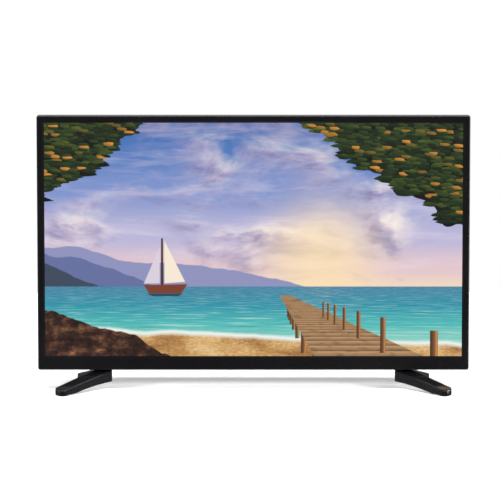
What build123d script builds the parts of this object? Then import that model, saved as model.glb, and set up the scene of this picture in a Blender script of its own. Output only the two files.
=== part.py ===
from build123d import *
import os
from math import hypot, radians, tan

os.makedirs("parts", exist_ok=True)

# A 32 inch class flat screen set on two V-shaped feet. Lengths are in millimetres.
# +X is the viewer's right, the screen faces -Y and +Z is up.
# The origin is on the table, in the middle of the feet's length and of the set's width.

# Picture and body
lit_width = 697.7
lit_height = 392.3
side_bezel = 12.15
top_bezel = 12.5
bottom_bezel = 23.2
body_depth = 80.0
table_gap = 32.0
front_setback = 83.0
overrun = 1.0
fit_gap = 0.3
screw_gap = 0.05
recess_width = 0.9
recess_depth_share = 0.5
recess_reach_share = 0.62
head_round_share = 0.3
least_round = 0.3

# Front frame
frame_depth = 16.0
frame_wall = 2.2
frame_face = 2.0
frame_corner = 4.0
frame_edge_round = 2.0
lip_bevel = 1.2
lit_margin = 1.0
catch_width = 24.0
catch_reach = 1.7
catch_thickness = 1.4
top_catch_shares = (-0.7, -0.25, 0.25, 0.7)
side_catch_shares = (-0.6, 0.0, 0.6)
boss_radius = 2.6
boss_length = 4.5
boss_lift = 6.2
frame_screw_shares = (-0.95, -0.72, 0.0, 0.72, 0.95)

# Screen stack, from the front to the back
gasket_thickness = 0.8
polariser_thickness = 0.3
polariser_inset = 0.5
glass_thickness = 1.4
glass_side_border = 5.5
glass_top_border = 5.0
glass_bottom_border = 9.0
ledge_thickness = 1.6
film_thickness = 0.3
plate_thickness = 1.5
plate_overlap = 2.5
pocket_gap = 0.5
mid_frame_gap = 0.4
mid_window_margin = 2.0

# Backlight
pan_sheet = 1.0
pan_depth = 21.8
pan_mouth_margin = 1.15
pan_slope_run = 25.0
pan_mouth_corner = 3.0
pan_floor_corner = 20.0
reflector_thickness = 0.5
reflector_lift = 1.5
led_bar_length = 600.0
led_bar_width = 14.0
led_bar_thickness = 1.2
led_bar_pitch = 110.0
led_bar_count = 3
lens_count = 7
lens_radius = 7.5
lens_height = 5.0
lens_round = 3.0
lens_hole_radius = 8.0
diffuser_post_base = 6.0
diffuser_post_tip = 1.0
diffuser_post_count = 4

# Driver boards, their film links and flat cables
source_board_length = 210.0
source_board_height = 8.0
source_board_thickness = 1.2
source_board_inner_x = 22.0
source_board_lift = 1.0
flex_width = 30.0
flex_thickness = 0.2
flex_overlap = 3.8
flex_count = 3
flat_cable_width = 36.0
flat_cable_thickness = 0.3
flat_cable_bend = 6.0
slot_gap = 2.0

# Rear cover
cover_wall = 2.2
rim_step = 0.6
rim_depth = 4.0
tongue_depth = 3.0
tongue_thickness = 1.5
tongue_gap = 0.2
thin_slope_run = 26.4
thin_corner = 20.0
cover_post_height = 4.2
seat_gap = 0.1
bulge_side_margin = 21.0
bulge_lift = 4.0
bulge_height = 234.0
bulge_slope_drop = 30.0
bulge_round = 6.0
vent_width = 3.0
vent_length = 34.0
vent_pitch = 8.0
vent_count = 20
vent_drop = 12.0
slope_vent_length = 16.0

# Cover screws and the posts that they enter
cover_post_radius = 3.2
cover_post_inset = 8.0
cover_screw_radius = 1.45
cover_screw_head = 2.9
cover_screw_head_height = 2.0
cover_screw_seat = 0.8
well_spacing = 170.0
well_radius = 5.5
well_wall = 1.8
well_lift = 9.5

# Wall mount, four M4 holes on a 200 by 100 mm rectangle
vesa_width = 200.0
vesa_height = 100.0
vesa_centre_lift = 129.0
vesa_thread_radius = 2.0
vesa_thread_length = 20.0
vesa_post_radius = 6.0
vesa_nose_radius = 5.0
vesa_base_radius = 9.0
vesa_base_thickness = 2.0

# Circuit boards
board_inner_x = 112.0
board_height = 140.0
board_thickness = 1.6
board_corner = 2.0
board_stand = 12.0
board_stand_radius = 3.0
board_stand_inset = 6.0
board_edge_gap = 0.8
board_screw_radius = 1.4
board_screw_head = 2.8
board_screw_head_height = 1.8
board_screw_reach = 5.0
timing_board_width = 140.0
timing_board_height = 36.0
timing_board_lift = 5.0

# Recesses of the cover for the sockets
side_bay_reach = 47.0
side_bay_height = 112.0
side_bay_lift = 77.0
bottom_bay_height = 56.0
av_bay_width = 98.0
inlet_bay_width = 60.0
inlet_shift_share = 1 / 8
av_bay_shift_share = 1 / 6
bay_step = 1.5

# Sockets
socket_gap = 0.3
hdmi_width = 15.0
hdmi_height = 6.0
hdmi_length = 11.5
hdmi_wall = 0.6
hdmi_cavity_depth = 8.0
hdmi_tongue_thickness = 1.0
hdmi_pitch = 22.0
hdmi_count = 3
usb_width = 14.5
usb_height = 7.0
usb_length = 14.0
usb_wall = 0.8
usb_cavity_depth = 9.0
usb_tongue_thickness = 1.8
usb_pitch = 19.0
usb_count = 2
socket_margin = 14.0
tongue_side_gap = 1.0
aerial_body = 14.0
aerial_length = 18.0
aerial_radius = 4.75
aerial_reach = 10.0
aerial_bore_radius = 3.6
aerial_bore_depth = 8.0
aerial_contact_radius = 1.2
av_jack_body = 10.5
av_jack_length = 13.0
av_jack_radius = 4.2
av_jack_reach = 8.0
av_jack_bore_radius = 1.7
av_jack_count = 3
headphone_body = 8.4
headphone_length = 15.0
headphone_radius = 3.6
headphone_reach = 1.5
headphone_bore_radius = 1.75
headphone_bore_depth = 14.0
lan_width = 16.0
lan_height = 13.5
lan_length = 21.0
lan_cavity_width = 12.0
lan_cavity_height = 7.5
lan_cavity_depth = 13.0
lan_latch_width = 6.0
lan_latch_height = 2.6
bottom_socket_shares = (0.11, 0.25, 0.37, 0.49, 0.63, 0.84)

# Mains inlet of the figure-of-eight kind
inlet_width = 22.0
inlet_height = 12.0
inlet_length = 20.0
inlet_lobe_radius = 4.2
inlet_lobe_spacing = 8.6
inlet_recess_depth = 14.0
inlet_pin_radius = 1.2
inlet_pin_length = 10.0
inlet_pin_root = 4.0

# Parts on the boards
chip_side = 24.0
chip_thickness = 2.0
memory_width = 9.0
memory_length = 13.0
memory_thickness = 1.0
tuner_width = 30.0
tuner_height = 24.0
tuner_depth = 8.0
header_width = 14.0
header_height = 6.0
header_depth = 7.0
heat_sink_side = 40.0
heat_sink_base = 3.0
heat_sink_height = 12.0
heat_sink_fin = 1.2
heat_sink_fins = 9
transformer_width = 36.0
transformer_height = 32.0
transformer_depth = 26.0
choke_side = 20.0
capacitor_radius = 9.0
capacitor_length = 29.0
small_capacitor_radius = 5.0
small_capacitor_length = 18.0
small_capacitor_count = 4
small_capacitor_pitch = 15.0
power_sink_length = 60.0
power_sink_depth = 26.0
power_sink_thickness = 2.0
power_sink_fin = 10.0

# Places of those parts, as shares of the board's width and height from its outer lower corner
processor_shares = (0.55, 0.55)
memory_shares = ((0.8, 0.4), (0.8, 0.62))
tuner_shares = (0.37, 0.3)
transformer_shares = (0.38, 0.55)
choke_shares = (0.66, 0.26)
capacitor_shares = (0.76, 0.62)
small_capacitor_shares = (0.14, 0.4)
power_sink_shares = ((0.55, 0.55), (0.24, 0.55))

# Keys on the side wall at the viewer's right
key_names = ("power", "source", "menu", "volume_up", "volume_down", "channel_up", "channel_down")
key_pitch = 15.0
key_lift = 134.0
key_setback = 25.0
key_length = 8.0
key_width = 6.0
key_corner = 1.5
key_stand = 1.2
key_round = 0.5
key_flange = 1.2
key_flange_lip = 1.0
key_stem_radius = 1.65
key_stem_length = 6.1
key_travel = 0.8
switch_side = 6.0
switch_height = 4.0
switch_bore_radius = 1.75
switch_bore_depth = 2.3
key_board_width = 16.0
key_board_thickness = 1.2
key_board_margin = 13.0
key_boss_radius = 3.0
key_boss_inset = 5.0

# Loudspeakers
speaker_width = 56.0
speaker_height = 53.0
speaker_depth = 38.0
speaker_wall = 2.0
speaker_side_gap = 4.8
speaker_setback = 7.0
basket_side = 35.0
basket_plate = 1.6
basket_hole_radius = 13.5
basket_leg = 4.0
basket_rim = 2.5
surround_outer_radius = 13.2
surround_inner_radius = 10.4
surround_height = 1.2
cone_radius = 10.0
cone_wall = 0.8
cone_rise = 5.2
cone_lift = 1.5
coil_radius = 6.5
coil_wall = 0.5
coil_top = 18.0
pole_radius = 5.3
pole_gap_radius = 7.0
magnet_radius = 13.0
magnet_bottom = 13.5
magnet_plate = 2.5
magnet_height = 14.0
grille_slot_width = 2.2
grille_slot_length = 26.0
grille_slot_pitch = 4.4
grille_slot_count = 7

# Feet
foot_depth = 200.0
foot_side_inset = 110.5
foot_apex_back = 21.0
foot_front_out = 73.0
foot_front_draw = 2.26
foot_rear_out = 43.0
foot_rear_draw = 1.39
foot_root_width = 26.0
foot_front_width = 21.0
foot_rear_width = 20.0
foot_front_round = 9.0
foot_rear_round = 8.5
foot_elbow_round = 8.0
foot_heel_round = 13.0
foot_front_top = 11.6
foot_rear_top = 8.2
foot_crown_back = 23.8
foot_crown_z = 31.4
foot_crown_round = 60.0
foot_sole = 2.2
foot_arch = 10.0
foot_sole_length = 22.0
foot_edge_round = 2.6
rim_slope_share = 0.6
neck_radius = 12.0
neck_front_back = 35.0
neck_rear_back = 50.0
neck_bottom = 14.0
pad_radius = 7.5
pad_recess = 1.0
pad_gap = 0.2
pad_inset = 12.0

# Foot screws, M4, and the steel brackets that they enter
foot_screw_radius = 1.95
foot_screw_head = 3.6
foot_screw_head_height = 2.6
foot_screw_well = 4.4
foot_screw_seat = 23.0
foot_screw_pitch = 17.0
foot_screw_front_back = 38.0
foot_screw_hole_gap = 0.3
bracket_sheet = 2.0
bracket_width = 42.0
bracket_depth = 34.0
bracket_rise = 66.0
bracket_boss_radius = 4.5
bracket_boss_height = 6.0
bracket_screw_inset = 8.0
bracket_screw_pitch = 26.0

# Receiver window and standby lamp at the right of the lower bezel
receiver_inset = 47.0
receiver_lift = 10.1
receiver_radius = 2.5
lamp_offset = 10.0
lamp_radius = 1.0
lens_flange = 0.9
lens_flange_thickness = 0.6
lens_gap = 0.05
receiver_board_width = 26.0
receiver_board_height = 7.6
receiver_board_thickness = 1.2
receiver_part_height = 2.2

# Leads and their clips
wire_radius = 0.7
wire_pitch = 1.8
wire_count = 5
lead_radius = 1.0
clip_width = 8.0
clip_wall = 1.2
clip_gap = 0.2
bend_share = 0.45
harness_lift = 15.0
harness_clear = 6.0
lead_step = 14.0
speaker_lead_drop = 15.0
key_lead_rise = 29.0
lead_clear = 3.8
clip_shares = (-0.2, 0.2, 0.5, 0.8)

# Outlines that follow from the sizes above
body_width = lit_width + 2 * side_bezel
body_height = lit_height + top_bezel + bottom_bezel
bottom_z = table_gap
top_z = bottom_z + body_height
mid_z = (bottom_z + top_z) / 2
lit_bottom_z = bottom_z + bottom_bezel
lit_mid_z = lit_bottom_z + lit_height / 2
cavity_width = body_width - 2 * frame_wall
cavity_height = body_height - 2 * frame_wall
cavity_bottom_z = bottom_z + frame_wall
cavity_corner = max(frame_corner - frame_wall, least_round)
glass_width = lit_width + 2 * glass_side_border
glass_height = lit_height + glass_top_border + glass_bottom_border
glass_bottom_z = lit_bottom_z - glass_bottom_border
glass_mid_z = glass_bottom_z + glass_height / 2
mid_frame_width = cavity_width - 2 * mid_frame_gap
mid_frame_height = cavity_height - 2 * mid_frame_gap
mid_frame_bottom_z = mid_z - mid_frame_height / 2

# Depths, from the front face to the back
front_y = front_setback - foot_depth / 2
bezel_back_y = front_y + frame_face
frame_back_y = front_y + frame_depth
cell_front_y = bezel_back_y + gasket_thickness
glass_front_y = cell_front_y + polariser_thickness
glass_back_y = glass_front_y + glass_thickness
ledge_back_y = glass_back_y + ledge_thickness
plate_front_y = ledge_back_y + 2 * film_thickness
flange_front_y = plate_front_y + plate_thickness
flange_back_y = flange_front_y + pan_sheet
pan_floor_y = flange_front_y + pan_depth
pan_back_y = pan_floor_y + pan_sheet
cover_inner_y = pan_back_y + cover_post_height + seat_gap
thin_back_y = cover_inner_y + cover_wall
rim_back_y = frame_back_y + rim_depth
back_y = front_y + body_depth
cover_back_inner_y = back_y - cover_wall

# Backlight outlines
mouth_width = lit_width + 2 * pan_mouth_margin
mouth_height = lit_height + 2 * pan_mouth_margin
floor_width = mouth_width - 2 * pan_slope_run
floor_height = mouth_height - 2 * pan_slope_run
floor_bottom_z = lit_mid_z - floor_height / 2
floor_top_z = lit_mid_z + floor_height / 2
led_front_y = pan_floor_y - led_bar_thickness
reflector_floor_y = pan_floor_y - reflector_lift

# Rear cover outlines
rim_width = body_width - 2 * rim_step
rim_height = body_height - 2 * rim_step
rim_corner = max(frame_corner - rim_step, least_round)
thin_rise = thin_back_y - rim_back_y
bulge_half = body_width / 2 - bulge_side_margin
bulge_inner_x = bulge_half - cover_wall
bulge_bottom_z = bottom_z + bulge_lift
bulge_inner_z = bulge_bottom_z + cover_wall
bulge_top_z = bulge_bottom_z + bulge_height
bulge_slope_run = back_y - thin_back_y

# Board and socket places
board_front_y = pan_back_y + board_stand
board_back_y = board_front_y + board_thickness
side_bay_x = bulge_half - side_bay_reach
side_bay_bottom_z = bulge_bottom_z + side_bay_lift
side_bay_top_z = side_bay_bottom_z + side_bay_height
bay_front_y = board_front_y - bay_step
bay_top_z = bulge_bottom_z + bottom_bay_height
board_outer_x = side_bay_x - cover_wall - board_edge_gap
board_width = board_outer_x - board_inner_x
board_mid_x = (board_outer_x + board_inner_x) / 2
board_bottom_z = bay_top_z + cover_wall + board_edge_gap
board_top_z = board_bottom_z + board_height
board_mid_z = (board_bottom_z + board_top_z) / 2
timing_bottom_z = floor_bottom_z + timing_board_lift
timing_mid_z = timing_bottom_z + timing_board_height / 2
vesa_z = bulge_bottom_z + vesa_centre_lift
well_z = floor_bottom_z + well_lift
inlet_x = board_mid_x - inlet_shift_share * board_width
av_bay_x = av_bay_shift_share * board_width - board_mid_x

# Feet, speakers, keys and receiver
foot_apex_x = body_width / 2 - foot_side_inset
foot_apex_y = front_y + foot_apex_back
foot_crown_y = front_y + foot_crown_back
neck_front_y = front_y + neck_front_back
neck_rear_y = front_y + neck_rear_back
foot_screw_front_y = front_y + foot_screw_front_back
receiver_x = body_width / 2 - receiver_inset
foot_front_y = foot_front_draw - foot_depth / 2
foot_rear_y = foot_depth / 2 - foot_rear_draw
key_z = bulge_bottom_z + key_lift
key_y = back_y - key_setback
key_flange_x = bulge_inner_x - fit_gap
stem_end_x = key_flange_x - key_flange - key_stem_length
switch_top_x = stem_end_x - key_travel - fit_gap + switch_bore_depth
key_board_x = switch_top_x - switch_height
key_board_height = (len(key_names) - 1) * key_pitch + 2 * key_board_margin
speaker_x = bulge_inner_x - speaker_side_gap - speaker_width / 2
speaker_y = back_y - speaker_setback - speaker_depth / 2
basket_bottom_z = bulge_inner_z + fit_gap
speaker_bottom_z = basket_bottom_z + basket_plate


def face_plane(y):
    """Upright plane at depth y: its local x is +X and its local y is +Z."""
    return Plane(origin=(0, y, 0), x_dir=(1, 0, 0), z_dir=(0, -1, 0))


def slab(sketch, y0, y1):
    """An outline drawn in X and Z, made solid from depth y0 back to y1."""
    return extrude(face_plane(y0) * sketch, amount=y1 - y0, dir=(0, 1, 0))


def block(x0, x1, y0, y1, z0, z1):
    """A box between two corners."""
    return Pos((x0 + x1) / 2, (y0 + y1) / 2, (z0 + z1) / 2) * Box(x1 - x0, y1 - y0, z1 - z0)


def rod_x(y, z, radius, x0, x1):
    """A round bar along X."""
    return Pos((x0 + x1) / 2, y, z) * Rot(0, 90, 0) * Cylinder(radius, x1 - x0)


def rod_y(x, z, radius, y0, y1):
    """A round bar along Y."""
    return Pos(x, (y0 + y1) / 2, z) * Rot(90, 0, 0) * Cylinder(radius, y1 - y0)


def rod_z(x, y, radius, z0, z1):
    """A round bar along Z."""
    return Pos(x, y, (z0 + z1) / 2) * Cylinder(radius, z1 - z0)


def rounded(width, height, corner, z):
    """A rounded rectangle about x = 0, centred at height z."""
    return Pos(0, z) * RectangleRounded(width, height, corner)


def oblong(width, height, z):
    """A sharp rectangle about x = 0, centred at height z."""
    return Pos(0, z) * Rectangle(width, height)


def group(solids):
    """Separate solids that share one node."""
    return Compound(children=[piece.solid() for piece in solids])


def both_sides(solid):
    """A solid and its mirror image across x = 0."""
    return [solid, mirror(solid, about=Plane.YZ)]


def spread(count, pitch):
    """Places of a row about 0."""
    return [(i - (count - 1) / 2) * pitch for i in range(count)]


# Front frame, panel and films
def frame_screw_places():
    """Screws along the lower edge, as X and Z."""
    return [(share * cavity_width / 2, cavity_bottom_z + boss_lift) for share in frame_screw_shares]


def catches():
    """Hooks inside the frame's walls that hold the backlight's flange."""
    y0 = flange_back_y + seat_gap
    y1 = y0 + catch_thickness
    top = mid_z + cavity_height / 2
    side = cavity_width / 2
    hooks = []
    for share in top_catch_shares:
        x = share * side
        x0 = x - catch_width / 2
        hooks.append(block(x0, x0 + catch_width, y0, y1, top - catch_reach, top + least_round))
    for share in side_catch_shares:
        z = mid_z + share * cavity_height / 2
        hook = block(side - catch_reach, side + least_round, y0, y1, z - catch_width / 2, z + catch_width / 2)
        hooks += both_sides(hook)
    return hooks


def front_frame():
    """The gloss bezel with its side walls, screw bosses, catches and two small windows."""
    frame = slab(rounded(body_width, body_height, frame_corner, mid_z), front_y, frame_back_y)
    frame = fillet(frame.faces().sort_by(Axis.Y)[0].edges(), frame_edge_round)
    cavity = rounded(cavity_width, cavity_height, cavity_corner, mid_z)
    frame -= slab(cavity, bezel_back_y, frame_back_y + overrun)
    width = lit_width + 2 * lit_margin
    height = lit_height + 2 * lit_margin
    frame -= slab(oblong(width, height, lit_mid_z), front_y - overrun, bezel_back_y + overrun)
    wide = face_plane(front_y) * oblong(width + 2 * lip_bevel, height + 2 * lip_bevel, lit_mid_z)
    narrow = face_plane(front_y + lip_bevel) * oblong(width, height, lit_mid_z)
    frame -= loft([wide, narrow], ruled=True)
    for x, z in frame_screw_places():
        boss = rod_y(x, z, boss_radius, bezel_back_y, bezel_back_y + boss_length)
        frame += boss - rod_y(x, z, board_screw_radius + screw_gap, bezel_back_y, bezel_back_y + boss_length)
    for hook in catches():
        frame += hook
    z = bottom_z + receiver_lift
    for x, radius in ((receiver_x, receiver_radius), (receiver_x - lamp_offset, lamp_radius)):
        frame -= rod_y(x, z, radius + lens_gap, front_y - overrun, bezel_back_y + overrun)
    return frame


def panel_gasket():
    """Foam strip between the bezel and the panel, all round."""
    inner_width = lit_width + 2 * (lit_margin + fit_gap)
    inner_height = lit_height + 2 * (lit_margin + fit_gap)
    outer_width = glass_width - 2 * polariser_inset
    outer_height = lit_height + 2 * glass_top_border - 2 * polariser_inset
    ring = oblong(outer_width, outer_height, lit_mid_z) - oblong(inner_width, inner_height, lit_mid_z)
    return slab(ring, bezel_back_y, cell_front_y)


def front_polariser():
    """The film that faces the viewer."""
    outline = oblong(glass_width - 2 * polariser_inset, glass_height - 2 * polariser_inset, glass_mid_z)
    return slab(outline, cell_front_y, glass_front_y)


def lcd_glass():
    """The two bonded glass sheets."""
    return slab(oblong(glass_width, glass_height, glass_mid_z), glass_front_y, glass_back_y)


def rear_polariser():
    """The film behind the glass, inside the mid frame's window."""
    outline = oblong(lit_width + 2 * lit_margin, lit_height + 2 * lit_margin, lit_mid_z)
    return slab(outline, glass_back_y, glass_back_y + polariser_thickness)


def source_board_span():
    """Lower and upper edge of the driver boards."""
    low = mid_frame_bottom_z + source_board_lift
    return low, low + source_board_height


def flex_places():
    """Places along X of the film links of one driver board."""
    mid = source_board_inner_x + source_board_length / 2
    return [mid + x for x in spread(flex_count, source_board_length / flex_count)]


def mid_frame():
    """Plastic frame: a pocket for the glass in front, one for the films behind, a ledge between."""
    outline = rounded(mid_frame_width, mid_frame_height, cavity_corner, mid_z)
    frame = slab(outline, cell_front_y, flange_front_y)
    glass_pocket = oblong(glass_width + 2 * pocket_gap, glass_height + 2 * pocket_gap, glass_mid_z)
    frame -= slab(glass_pocket, cell_front_y - overrun, glass_back_y)
    window_size = lit_width + 2 * mid_window_margin, lit_height + 2 * mid_window_margin
    frame -= slab(oblong(*window_size, lit_mid_z), glass_back_y - overrun, flange_front_y + overrun)
    plate_width = mouth_width + 2 * (plate_overlap + pocket_gap)
    plate_height = mouth_height + 2 * (plate_overlap + pocket_gap)
    frame -= slab(oblong(plate_width, plate_height, lit_mid_z), ledge_back_y, flange_front_y + overrun)
    low, high = source_board_span()
    board_front = glass_back_y + flex_thickness
    board_back = board_front + source_board_thickness
    for side in (-1, 1):
        mid = side * (source_board_inner_x + source_board_length / 2)
        half = source_board_length / 2 + fit_gap
        span = low - fit_gap, high + fit_gap
        frame -= block(mid - half, mid + half, cell_front_y - overrun, board_back, *span)
        for x in flex_places():
            half = flex_width / 2 + fit_gap
            x = side * x
            top = glass_bottom_z + flex_overlap + fit_gap
            frame -= block(x - half, x + half, cell_front_y - overrun, board_front + seat_gap, low, top)
        frame -= cable_slot(side)
    for x, z in frame_screw_places():
        front = bezel_back_y + boss_length + fit_gap
        frame -= rod_y(x, z, boss_radius + fit_gap, cell_front_y - overrun, front)
        frame -= rod_y(x, z, board_screw_radius + fit_gap, front, flange_front_y + overrun)
    frame -= receiver_pocket()
    frame -= receiver_lead_hole(cell_front_y, flange_front_y + overrun)
    return frame.solid()


def cable_slot(side):
    """Cut through the mid frame and the flange for one flat cable."""
    x = side * flat_cable_x()
    z = flat_cable_z()
    half = flat_cable_width / 2 + fit_gap
    back = flange_back_y + overrun
    return block(x - half, x + half, glass_back_y, back, z - slot_gap / 2, z + slot_gap / 2)


def flat_cable_x():
    """Place along X of the flat cable of the right-hand driver board."""
    return source_board_inner_x + flat_cable_width / 2


def flat_cable_z():
    """Height at which the flat cables leave the driver boards."""
    low, high = source_board_span()
    return (low + high) / 2


def receiver_pocket():
    """Room in the mid frame for the receiver's board."""
    z = bottom_z + receiver_lift
    x0, x1 = receiver_board_span()
    half = receiver_board_height / 2 + fit_gap
    low = max(z - half, mid_frame_bottom_z + fit_gap)
    return block(x0 - fit_gap, x1 + fit_gap, cell_front_y - overrun, ledge_back_y, low, z + half)


def receiver_board_span():
    """Left and right ends of the receiver's board."""
    mid = receiver_x - lamp_offset / 2
    return mid - receiver_board_width / 2, mid + receiver_board_width / 2


def receiver_lead_x():
    """Place along X of the receiver's lead, near the board's inner end."""
    return receiver_board_span()[0] + 2 * lead_radius


def receiver_lead_hole(y0, y1):
    """Cut that lets the receiver's lead through to the back."""
    return rod_y(receiver_lead_x(), bottom_z + receiver_lift, lead_radius + fit_gap, y0, y1)


def optical_films():
    """Prism film and diffuser film, one behind the other."""
    films = []
    for i in range(2):
        outline = oblong(mouth_width + 2 * plate_overlap, mouth_height + 2 * plate_overlap, lit_mid_z)
        front = ledge_back_y + i * film_thickness
        films.append(slab(outline, front, front + film_thickness))
    return group(films)


def diffuser_plate():
    """The stiff milky plate in front of the lamps."""
    outline = oblong(mouth_width + 2 * plate_overlap, mouth_height + 2 * plate_overlap, lit_mid_z)
    return slab(outline, plate_front_y, flange_front_y)


# Backlight
def tray_section(y, inset):
    """Outline of the tray at depth y, drawn in by inset."""
    share = (y - flange_front_y) / pan_depth
    width = mouth_width - 2 * share * pan_slope_run - 2 * inset
    height = mouth_height - 2 * share * pan_slope_run - 2 * inset
    corner = pan_mouth_corner + share * (pan_floor_corner - pan_mouth_corner)
    return face_plane(y) * rounded(width, height, corner, lit_mid_z)


def tray(y0, y1, inset):
    """Solid that the tray's slopes bound between two depths."""
    return loft([tray_section(y0, inset), tray_section(y1, inset)], ruled=True)


def led_rows():
    """Heights of the lamp bars."""
    return [lit_mid_z + z for z in spread(led_bar_count, led_bar_pitch)]


def lens_places():
    """Places of the lenses as X and Z."""
    return [(x, z) for z in led_rows() for x in spread(lens_count, led_bar_length / lens_count)]


def cover_post_places():
    """Posts for the cover's screws: two columns at the sides, two more on top and two in deep wells."""
    side = floor_width / 2 - cover_post_inset
    low = bulge_top_z + 2 * cover_post_inset
    high = floor_top_z - cover_post_inset
    places = []
    for sign in (-1, 1):
        places += [(sign * side, low), (sign * side, (low + high) / 2), (sign * side, high)]
        places += [(sign * side / 3, high)]
    return places


def well_places():
    """Deep screw wells in the cover as X and Z."""
    return [(-well_spacing / 2, well_z), (well_spacing / 2, well_z)]


def corners(mid_x, mid_z, width, height):
    """Four places at the corners of a rectangle."""
    return [(mid_x + sx * width / 2, mid_z + sz * height / 2) for sx in (-1, 1) for sz in (-1, 1)]


def board_post_places():
    """Standoffs of the main, power and timing boards as X and Z."""
    width = board_width - 2 * board_stand_inset
    height = board_height - 2 * board_stand_inset
    places = corners(-board_mid_x, board_mid_z, width, height)
    places += corners(board_mid_x, board_mid_z, width, height)
    width = timing_board_width - 2 * board_stand_inset
    places += corners(0, timing_mid_z, width, timing_board_height - 2 * board_stand_inset)
    return places


def backlight_pan():
    """Pressed steel tray with a flange, and standoffs pressed into its back."""
    pan = tray(flange_front_y, pan_back_y, -pan_sheet) - tray(flange_front_y, pan_floor_y, 0)
    outline = rounded(mid_frame_width, mid_frame_height, cavity_corner, mid_z)
    flange = slab(outline, flange_front_y, flange_back_y)
    pan += flange - tray(flange_front_y, pan_floor_y, 0)
    for x, z in cover_post_places() + well_places():
        y1 = pan_back_y + cover_post_height
        post = rod_y(x, z, cover_post_radius, pan_back_y, y1)
        pan += post - rod_y(x, z, cover_screw_radius + screw_gap, pan_back_y, y1 + overrun)
    for x, z in board_post_places():
        post = rod_y(x, z, board_stand_radius, pan_back_y, board_front_y)
        bore_front = board_front_y - board_screw_reach - overrun
        pan += post - rod_y(x, z, board_screw_radius + screw_gap, bore_front, board_front_y + overrun)
    for side in (-1, 1):
        pan -= cable_slot(side)
        for x, z in bracket_screw_places():
            radius = board_screw_radius + screw_gap
            pan -= rod_y(side * x, z, radius, pan_floor_y - overrun, pan_back_y + overrun)
    for x, z in frame_screw_places():
        pan -= rod_y(x, z, board_screw_radius + fit_gap, flange_front_y - overrun, flange_back_y + overrun)
    pan -= receiver_lead_hole(flange_front_y - overrun, flange_back_y + overrun)
    pan -= rod_y(board_mid_x, led_rows()[0], 2 * wire_pitch, pan_floor_y - overrun, pan_back_y + overrun)
    return pan.solid()


def reflector_sheet():
    """White tray inside the steel one, holed for the lenses."""
    front = flange_front_y + fit_gap
    inner_y = reflector_floor_y - reflector_thickness
    sheet = tray(front, reflector_floor_y, fit_gap)
    sheet -= tray(front, inner_y, fit_gap + reflector_thickness)
    for x, z in lens_places():
        sheet -= rod_y(x, z, lens_hole_radius, inner_y - overrun, reflector_floor_y + overrun)
    return sheet.solid()


def led_bars():
    """Strips that carry the lamps."""
    bars = []
    reach = led_bar_length / 2
    half = led_bar_width / 2
    for z in led_rows():
        bars.append(block(-reach, reach, led_front_y, pan_floor_y, z - half, z + half))
    return group(bars)


def led_lenses():
    """Round lenses over the lamps."""
    lenses = []
    for x, z in lens_places():
        lens = rod_y(x, z, lens_radius, led_front_y - lens_height, led_front_y)
        lenses.append(fillet(lens.faces().sort_by(Axis.Y)[0].edges(), lens_round))
    return group(lenses)


def diffuser_posts():
    """Cones that keep the diffuser plate off the lamps."""
    base_y = reflector_floor_y - reflector_thickness
    tip_y = flange_front_y + fit_gap
    length = base_y - tip_y
    posts = []
    for z in spread(2, led_bar_pitch):
        for x in spread(diffuser_post_count, 2 * led_bar_length / lens_count):
            cone = Cone(diffuser_post_base, diffuser_post_tip, length)
            posts.append(Pos(x, (base_y + tip_y) / 2, lit_mid_z + z) * Rot(90, 0, 0) * cone)
    return group(posts)


# Driver boards and flat cables
def source_boards():
    """Two long boards under the glass."""
    low, high = source_board_span()
    front = glass_back_y + flex_thickness
    end = source_board_inner_x + source_board_length
    board = block(source_board_inner_x, end, front, front + source_board_thickness, low, high)
    return group(both_sides(board))


def panel_flexes():
    """Film links from the glass down to the driver boards."""
    low, high = source_board_span()
    bottom = high - flex_overlap
    top = glass_bottom_z + flex_overlap
    links = []
    for x in flex_places():
        x0 = x - flex_width / 2
        link = block(x0, x0 + flex_width, glass_back_y, glass_back_y + flex_thickness, bottom, top)
        links += both_sides(link)
    return group(links)


def ribbon(points, bends, x, width, thickness):
    """A flat cable that follows points in Y and Z, centred at x."""
    path = FilletPolyline([(x, y, z) for y, z in points], radius=bends)
    start = Plane(origin=path @ 0, x_dir=(1, 0, 0), z_dir=path % 0)
    return sweep(start * Rectangle(width, thickness), path=path)


def panel_cables():
    """Two flat cables up to the timing board, and the one from there to the main board."""
    z = flat_cable_z()
    start = glass_back_y + flex_thickness + source_board_thickness
    rise_y = board_front_y - header_height / 2
    points = [(start, z), (rise_y, z), (rise_y, timing_bottom_z)]
    size = flat_cable_width, flat_cable_thickness
    cables = [ribbon(points, flat_cable_bend, side * flat_cable_x(), *size) for side in (-1, 1)]
    y = board_back_y + header_depth / 2
    x0 = timing_header_x()
    x1 = -timing_board_width / 2
    half = header_width / 3
    cables.append(block(x0, x1, y - wire_radius, y + wire_radius, timing_mid_z - half, timing_mid_z + half))
    return group(cables)


def screwed_board(mid_x, mid_z, width, height):
    """A circuit board with a hole in each corner."""
    outline = Pos(mid_x, mid_z) * RectangleRounded(width, height, board_corner)
    board = slab(outline, board_front_y, board_back_y)
    for x, z in corners(mid_x, mid_z, width - 2 * board_stand_inset, height - 2 * board_stand_inset):
        board -= rod_y(x, z, board_screw_radius + fit_gap, board_front_y - overrun, board_back_y + overrun)
    return board


def timing_board():
    """Board between the driver boards and the main board, with its connectors."""
    board = screwed_board(0, timing_mid_z, timing_board_width, timing_board_height)
    edge = (header_height - timing_board_width) / 2, timing_mid_z
    solids = [board, part_on_board(edge, header_height, header_width, header_depth)]
    solids.append(part_on_board((0, timing_mid_z), chip_side / 2, chip_side / 2, chip_thickness))
    y0 = board_front_y - header_height
    z1 = timing_bottom_z + header_height
    for side in (-1, 1):
        x = side * flat_cable_x()
        half = flat_cable_width / 2 + lead_radius
        solids.append(block(x - half, x + half, y0, board_front_y, timing_bottom_z, z1))
    return group(solids)


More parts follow.
